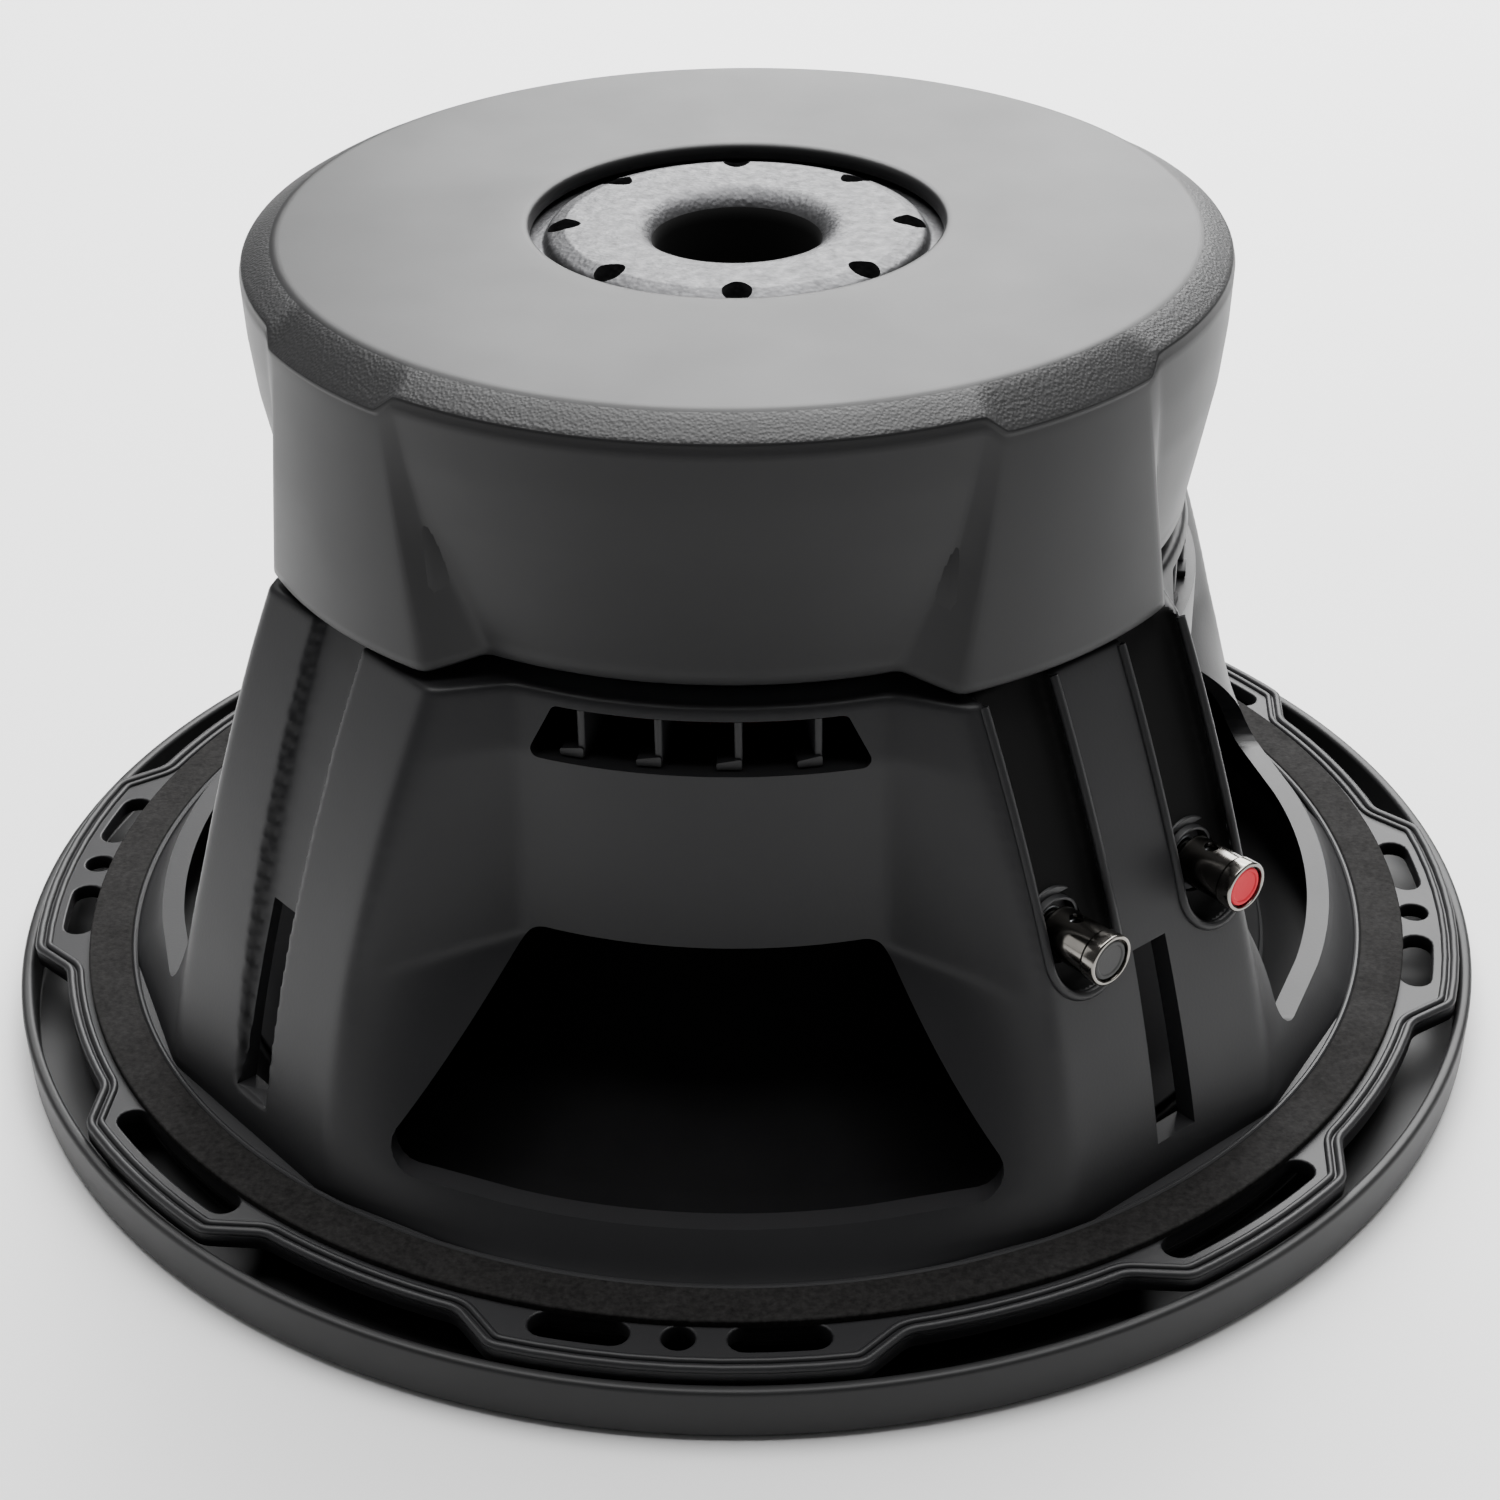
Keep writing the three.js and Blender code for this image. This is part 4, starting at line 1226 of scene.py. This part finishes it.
SPRING = {"turns": 7, "radius": 3.55, "low": 113.4, "high": 127.6, "wire": 0.32}


def spring_coil(side):
    """The path of a terminal's spring from its seat to the button."""
    steps = SPRING["turns"] * 24
    a = np.linspace(0, 2 * np.pi * SPRING["turns"], steps)
    d = np.linspace(SPRING["low"], SPRING["high"], steps)
    r = SPRING["radius"]
    return np.stack([side + r * np.cos(a), -d, TERMINAL_Z + r * np.sin(a)], axis=-1)


class SPEAKER_OT_terminals(bpy.types.Operator):
    """Push terminals with their housings, cores, springs and coloured inserts"""

    bl_idname = "speaker.terminals"
    bl_label = "Push Terminals"

    def execute(self, context):
        ends = (-TERMINAL_SIDE, "negative", "insert_grey"), (TERMINAL_SIDE, "positive", "insert_red")
        for side, label, insert_slot in ends:
            body = f"push_terminal_{label}"
            base = terminal_turned(f"terminal_housing_{label}", HOUSING, side)
            nodes = [f"terminal_base_{label}"]
            dressed(base, "Moulded black plastic", "root", nodes)
            core = terminal_turned(f"terminal_pin_{label}", PIN, side)
            carved(core, [cross_rod(side, 123.2, 1.3, 4)])
            nodes = [f"terminal_core_{label}"]
            dressed(core, "Black nickel plate", "root", nodes)
            path = turned_to(spring_coil(side), TERMINAL_LEG)
            spring = swept(f"terminal_coil_{label}", path, SPRING["wire"], closed=False)
            dressed_soft(spring, "Turned steel", [f"terminal_spring_{label}"])
            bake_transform(spring)
            barrel = terminal_turned(f"terminal_button_{label}", BUTTON, side, 4, 72)
            carved(barrel, [cross_rod(side, 121.4)])
            nodes = [f"terminal_barrel_{label}"]
            dressed(barrel, "Black nickel plate", body, nodes)
            insert = terminal_turned(f"terminal_disc_{label}", DISC, side, 4)
            nodes = [f"terminal_insert_{label}"]
            dressed(insert, f"Moulded {label} insert", body, nodes)
        return {"FINISHED"}


class SPEAKER_OT_channel_rims(bpy.types.Operator):
    """Raised rims round the two terminal channels"""

    bl_idname = "speaker.channel_rims"
    bl_label = "Channel Rims"

    def execute(self, context):
        rims = []
        outside, high = 0.7, DECK_TOP - 0.8
        for side, inside in TERMINAL_CHANNELS:
            half, low = inside + outside, TERMINAL_CHANNEL_LOW - outside
            route = [(side - half, z) for z in np.linspace(high, low + half, 24)]
            for k in range(1, 24):
                a = math.radians(180 + 180 * k / 24)
                route.append((side + half * math.cos(a), low + half + half * math.sin(a)))
            route += [(side + half, z) for z in np.linspace(low + half, high, 24)]
            path = turned_to([(x, 0.1 - leg_distance(z), z) for x, z in route], TERMINAL_LEG)
            rims.append(swept("rim", path, 1.0, 12, closed=False))
        dressed(joined("channel_rims", rims), "Black powder coat", "root")
        return {"FINISHED"}


class SPEAKER_OT_leads(bpy.types.Operator):
    """Solder tabs and the flexible leads to the voice coil"""

    bl_idname = "speaker.leads"
    bl_label = "Flexible Leads"

    def execute(self, context):
        for side, label in ((-1, "negative"), (1, "positive")):
            x = side * TERMINAL_SIDE
            corners = [(x - 2, 101, 1.2), (x + 2, 101, 1.2), (x + 2, 107.7, 0), (x - 2, 107.7, 0)]
            blade = [(across, -out) for across, out in rounded(corners, 4)]
            low, high = TERMINAL_Z - 0.6, TERMINAL_Z + 0.6
            tab = column(f"tab_{label}", blade, low, high, TERMINAL_LEG)
            dressed(tab, "Tinned brass", "root", [f"solder_tab_{label}"])
            knots = [Vector(knot) for knot in (
                (x, -99.4, 72), (x - side, -90, 71), (side * 15, -70, 62),
                (side * 11, -50, 66), (side * 9, -38.5, 73), (side * 9, -34.7, 76),
            )]
            path = turned_to(smooth_route(knots, 12), TERMINAL_LEG)
            lead = swept(f"lead_{label}", path, 1.05, 10, closed=False)
            dressed_soft(lead, "Braided copper", [f"flexible_lead_{label}"])
            follow_the_cone(lead)
        return {"FINISHED"}


def smooth_route(knots, steps):
    """Points along a smooth curve through the knots."""
    ends = [knots[0] * 2 - knots[1], *knots, knots[-1] * 2 - knots[-2]]
    points = []
    for a, b, c, d in zip(ends, ends[1:], ends[2:], ends[3:]):
        for k in range(steps):
            t = k / steps
            square, cube = 2 * a - 5 * b + 4 * c - d, 3 * b - a - 3 * c + d
            points.append(0.5 * ((2 * b) + (c - a) * t + square * t**2 + cube * t**3))
    points.append(knots[-1])
    return [tuple(p) for p in points]


# ---- stage ---------------------------------------------------------------------------------------


def soft_light(name, place, aim, width, depth, power):
    """A rectangular light that faces a point, in metres and watts."""
    data = bpy.data.lights.new(name, "AREA")
    data.shape = "RECTANGLE"
    data.size, data.size_y = width, depth
    data.energy = power
    light = bpy.data.objects.new(name, data)
    light.location = place
    light.rotation_mode = "QUATERNION"
    light.rotation_quaternion = (Vector(aim) - Vector(place)).to_track_quat("-Z", "Y")
    light.visible_camera = False
    bpy.context.scene.collection.objects.link(light)


def camera_at(azimuth, elevation, distance, aim, lens, lean):
    """The camera, from angles in degrees and distances in metres."""
    azimuth, elevation = math.radians(azimuth), math.radians(elevation)
    data = bpy.data.cameras.new("Camera")
    data.sensor_width = 36.0
    data.lens = lens
    camera = bpy.data.objects.new("Camera", data)
    flat, up = distance * math.cos(elevation), 0.03 + distance * math.sin(elevation)
    place = Vector((flat * math.sin(azimuth), -flat * math.cos(azimuth), up))
    camera.location = place
    camera.rotation_mode = "QUATERNION"
    roll = Matrix.Rotation(math.radians(lean), 4, "Z").to_quaternion()
    camera.rotation_quaternion = (Vector(aim) - place).to_track_quat("-Z", "Y") @ roll
    return camera


class SPEAKER_OT_stage(bpy.types.Operator):
    """Pale floor, soft studio lights and the camera"""

    bl_idname = "speaker.stage"
    bl_label = "Stage"

    def execute(self, context):
        corners = np.array([(-1, -1, 0), (1, -1, 0), (1, 1, 0), (-1, 1, 0)]) * 20000
        floor = new_piece("floor", corners, [(0, 1, 2, 3)])
        floor.data.materials.append(finish("Pale floor"))
        soft_light("Back softbox", (0.15, 1.35, 1.05), (0, 0, 0.1), 1.2, 1.3, 58)
        soft_light("Top softbox", (0.0, 0.45, 1.8), (0, 0, 0), 2.0, 2.0, 90)
        soft_light("Left strip", (-1.5, -0.1, 0.55), (0, 0, 0.08), 0.5, 1.0, 2)
        soft_light("Right strip", (1.5, 0.0, 0.6), (0, 0, 0.08), 0.5, 1.0, 2)
        world = bpy.data.worlds.new("Studio")
        world.use_nodes = True
        sky = world.node_tree.nodes["Background"]
        sky.inputs["Color"].default_value = (1, 1, 1, 1)
        sky.inputs["Strength"].default_value = 0.12
        context.scene.world = world
        camera = camera_at(5.2, 32.7, 0.68477, (0.0014, 0.0, 0.0518), 71.72, -0.7)
        context.scene.collection.objects.link(camera)
        context.scene.camera = camera
        return {"FINISHED"}


# ---- settings, panel and registration ------------------------------------------------------------


def colour_setting(name, description, colour):
    """A colour that can be changed in the panel."""
    return bpy.props.FloatVectorProperty(
        name=name, description=description, subtype="COLOR", size=4, min=0, max=1, default=colour
    )


class SpeakerSizes(bpy.types.PropertyGroup):
    """Sizes that can be changed in the panel"""

    wall_thickness: bpy.props.FloatProperty(
        name="Wall Thickness",
        description="Thickness of the cast basket wall",
        default=4.5 * MM,
        unit="LENGTH",
    )
    cast_voxel: bpy.props.FloatProperty(
        name="Casting Softness",
        description="How far the basket's edges are rounded",
        default=0.8 * MM,
        unit="LENGTH",
    )


class SpeakerFinishes(bpy.types.PropertyGroup):
    """Colours that can be changed in the panel"""

    powder_coat: colour_setting("Powder Coat", "Colour of the basket", (0.014, 0.014, 0.015, 1))
    ring_rubber: colour_setting(
        "Trim Ring", "Colour of the trim ring's rubber", (0.011, 0.011, 0.0115, 1)
    )
    boot_rubber: colour_setting(
        "Boot", "Colour of the magnet boot's rubber", (0.01, 0.01, 0.0105, 1)
    )
    gasket: colour_setting("Gasket", "Colour of the gasket", (0.012, 0.0115, 0.0112, 1))
    back_plate: colour_setting(
        "Back Plate", "Colour of the back plate's metal", (0.07, 0.07, 0.073, 1)
    )
    terminal_plate: colour_setting(
        "Terminal Plating", "Colour of the terminals' plating", (0.2, 0.19, 0.175, 1)
    )
    negative_insert: colour_setting(
        "Negative Insert", "Colour of the negative insert", (0.07, 0.07, 0.07, 1)
    )
    positive_insert: colour_setting(
        "Positive Insert", "Colour of the positive insert", (0.7, 0.03, 0.05, 1)
    )
    cone: colour_setting("Cone", "Colour of the cone and surround", (0.006, 0.006, 0.0065, 1))
    spider: colour_setting("Spider", "Colour of the spider's cloth", (0.3, 0.07, 0.05, 1))
    copper: colour_setting("Copper", "Colour of the coil and leads", (0.6, 0.22, 0.1, 1))


OPERATORS = (
    SPEAKER_OT_stage,
    SPEAKER_OT_trim_ring,
    SPEAKER_OT_flange,
    SPEAKER_OT_flange_beads,
    SPEAKER_OT_gasket,
    SPEAKER_OT_basket_wall,
    SPEAKER_OT_vent_fins,
    SPEAKER_OT_channel_rims,
    SPEAKER_OT_magnet_boot,
    SPEAKER_OT_back_plate,
    SPEAKER_OT_motor_rings,
    SPEAKER_OT_motor_screws,
    SPEAKER_OT_cone,
    SPEAKER_OT_voice_coil,
    SPEAKER_OT_surround,
    SPEAKER_OT_spider,
    SPEAKER_OT_terminals,
    SPEAKER_OT_leads,
)


class SPEAKER_PT_build(bpy.types.Panel):
    """Sizes, colours and one button for each piece"""

    bl_idname = "SPEAKER_PT_build"
    bl_label = "Car Subwoofer Speaker"
    bl_space_type = "VIEW_3D"
    bl_region_type = "UI"
    bl_category = "Speaker"

    def draw(self, context):
        for settings in (context.scene.speaker_sizes, context.scene.speaker_finishes):
            for key in settings.__annotations__:
                self.layout.prop(settings, key)
        for operator in OPERATORS:
            self.layout.operator(operator.bl_idname)


def register():
    for made in (SpeakerSizes, SpeakerFinishes, *OPERATORS, SPEAKER_PT_build):
        bpy.utils.register_class(made)
    bpy.types.Scene.speaker_sizes = bpy.props.PointerProperty(type=SpeakerSizes)
    bpy.types.Scene.speaker_finishes = bpy.props.PointerProperty(type=SpeakerFinishes)


def unregister():
    del bpy.types.Scene.speaker_finishes
    del bpy.types.Scene.speaker_sizes
    for made in reversed((SpeakerSizes, SpeakerFinishes, *OPERATORS, SPEAKER_PT_build)):
        bpy.utils.unregister_class(made)


def main():
    """Builds every piece."""
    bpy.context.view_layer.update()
    register()
    for operator in OPERATORS:
        group, name = operator.bl_idname.split(".")
        getattr(getattr(bpy.ops, group), name)()


if __name__ == "__main__":
    main()
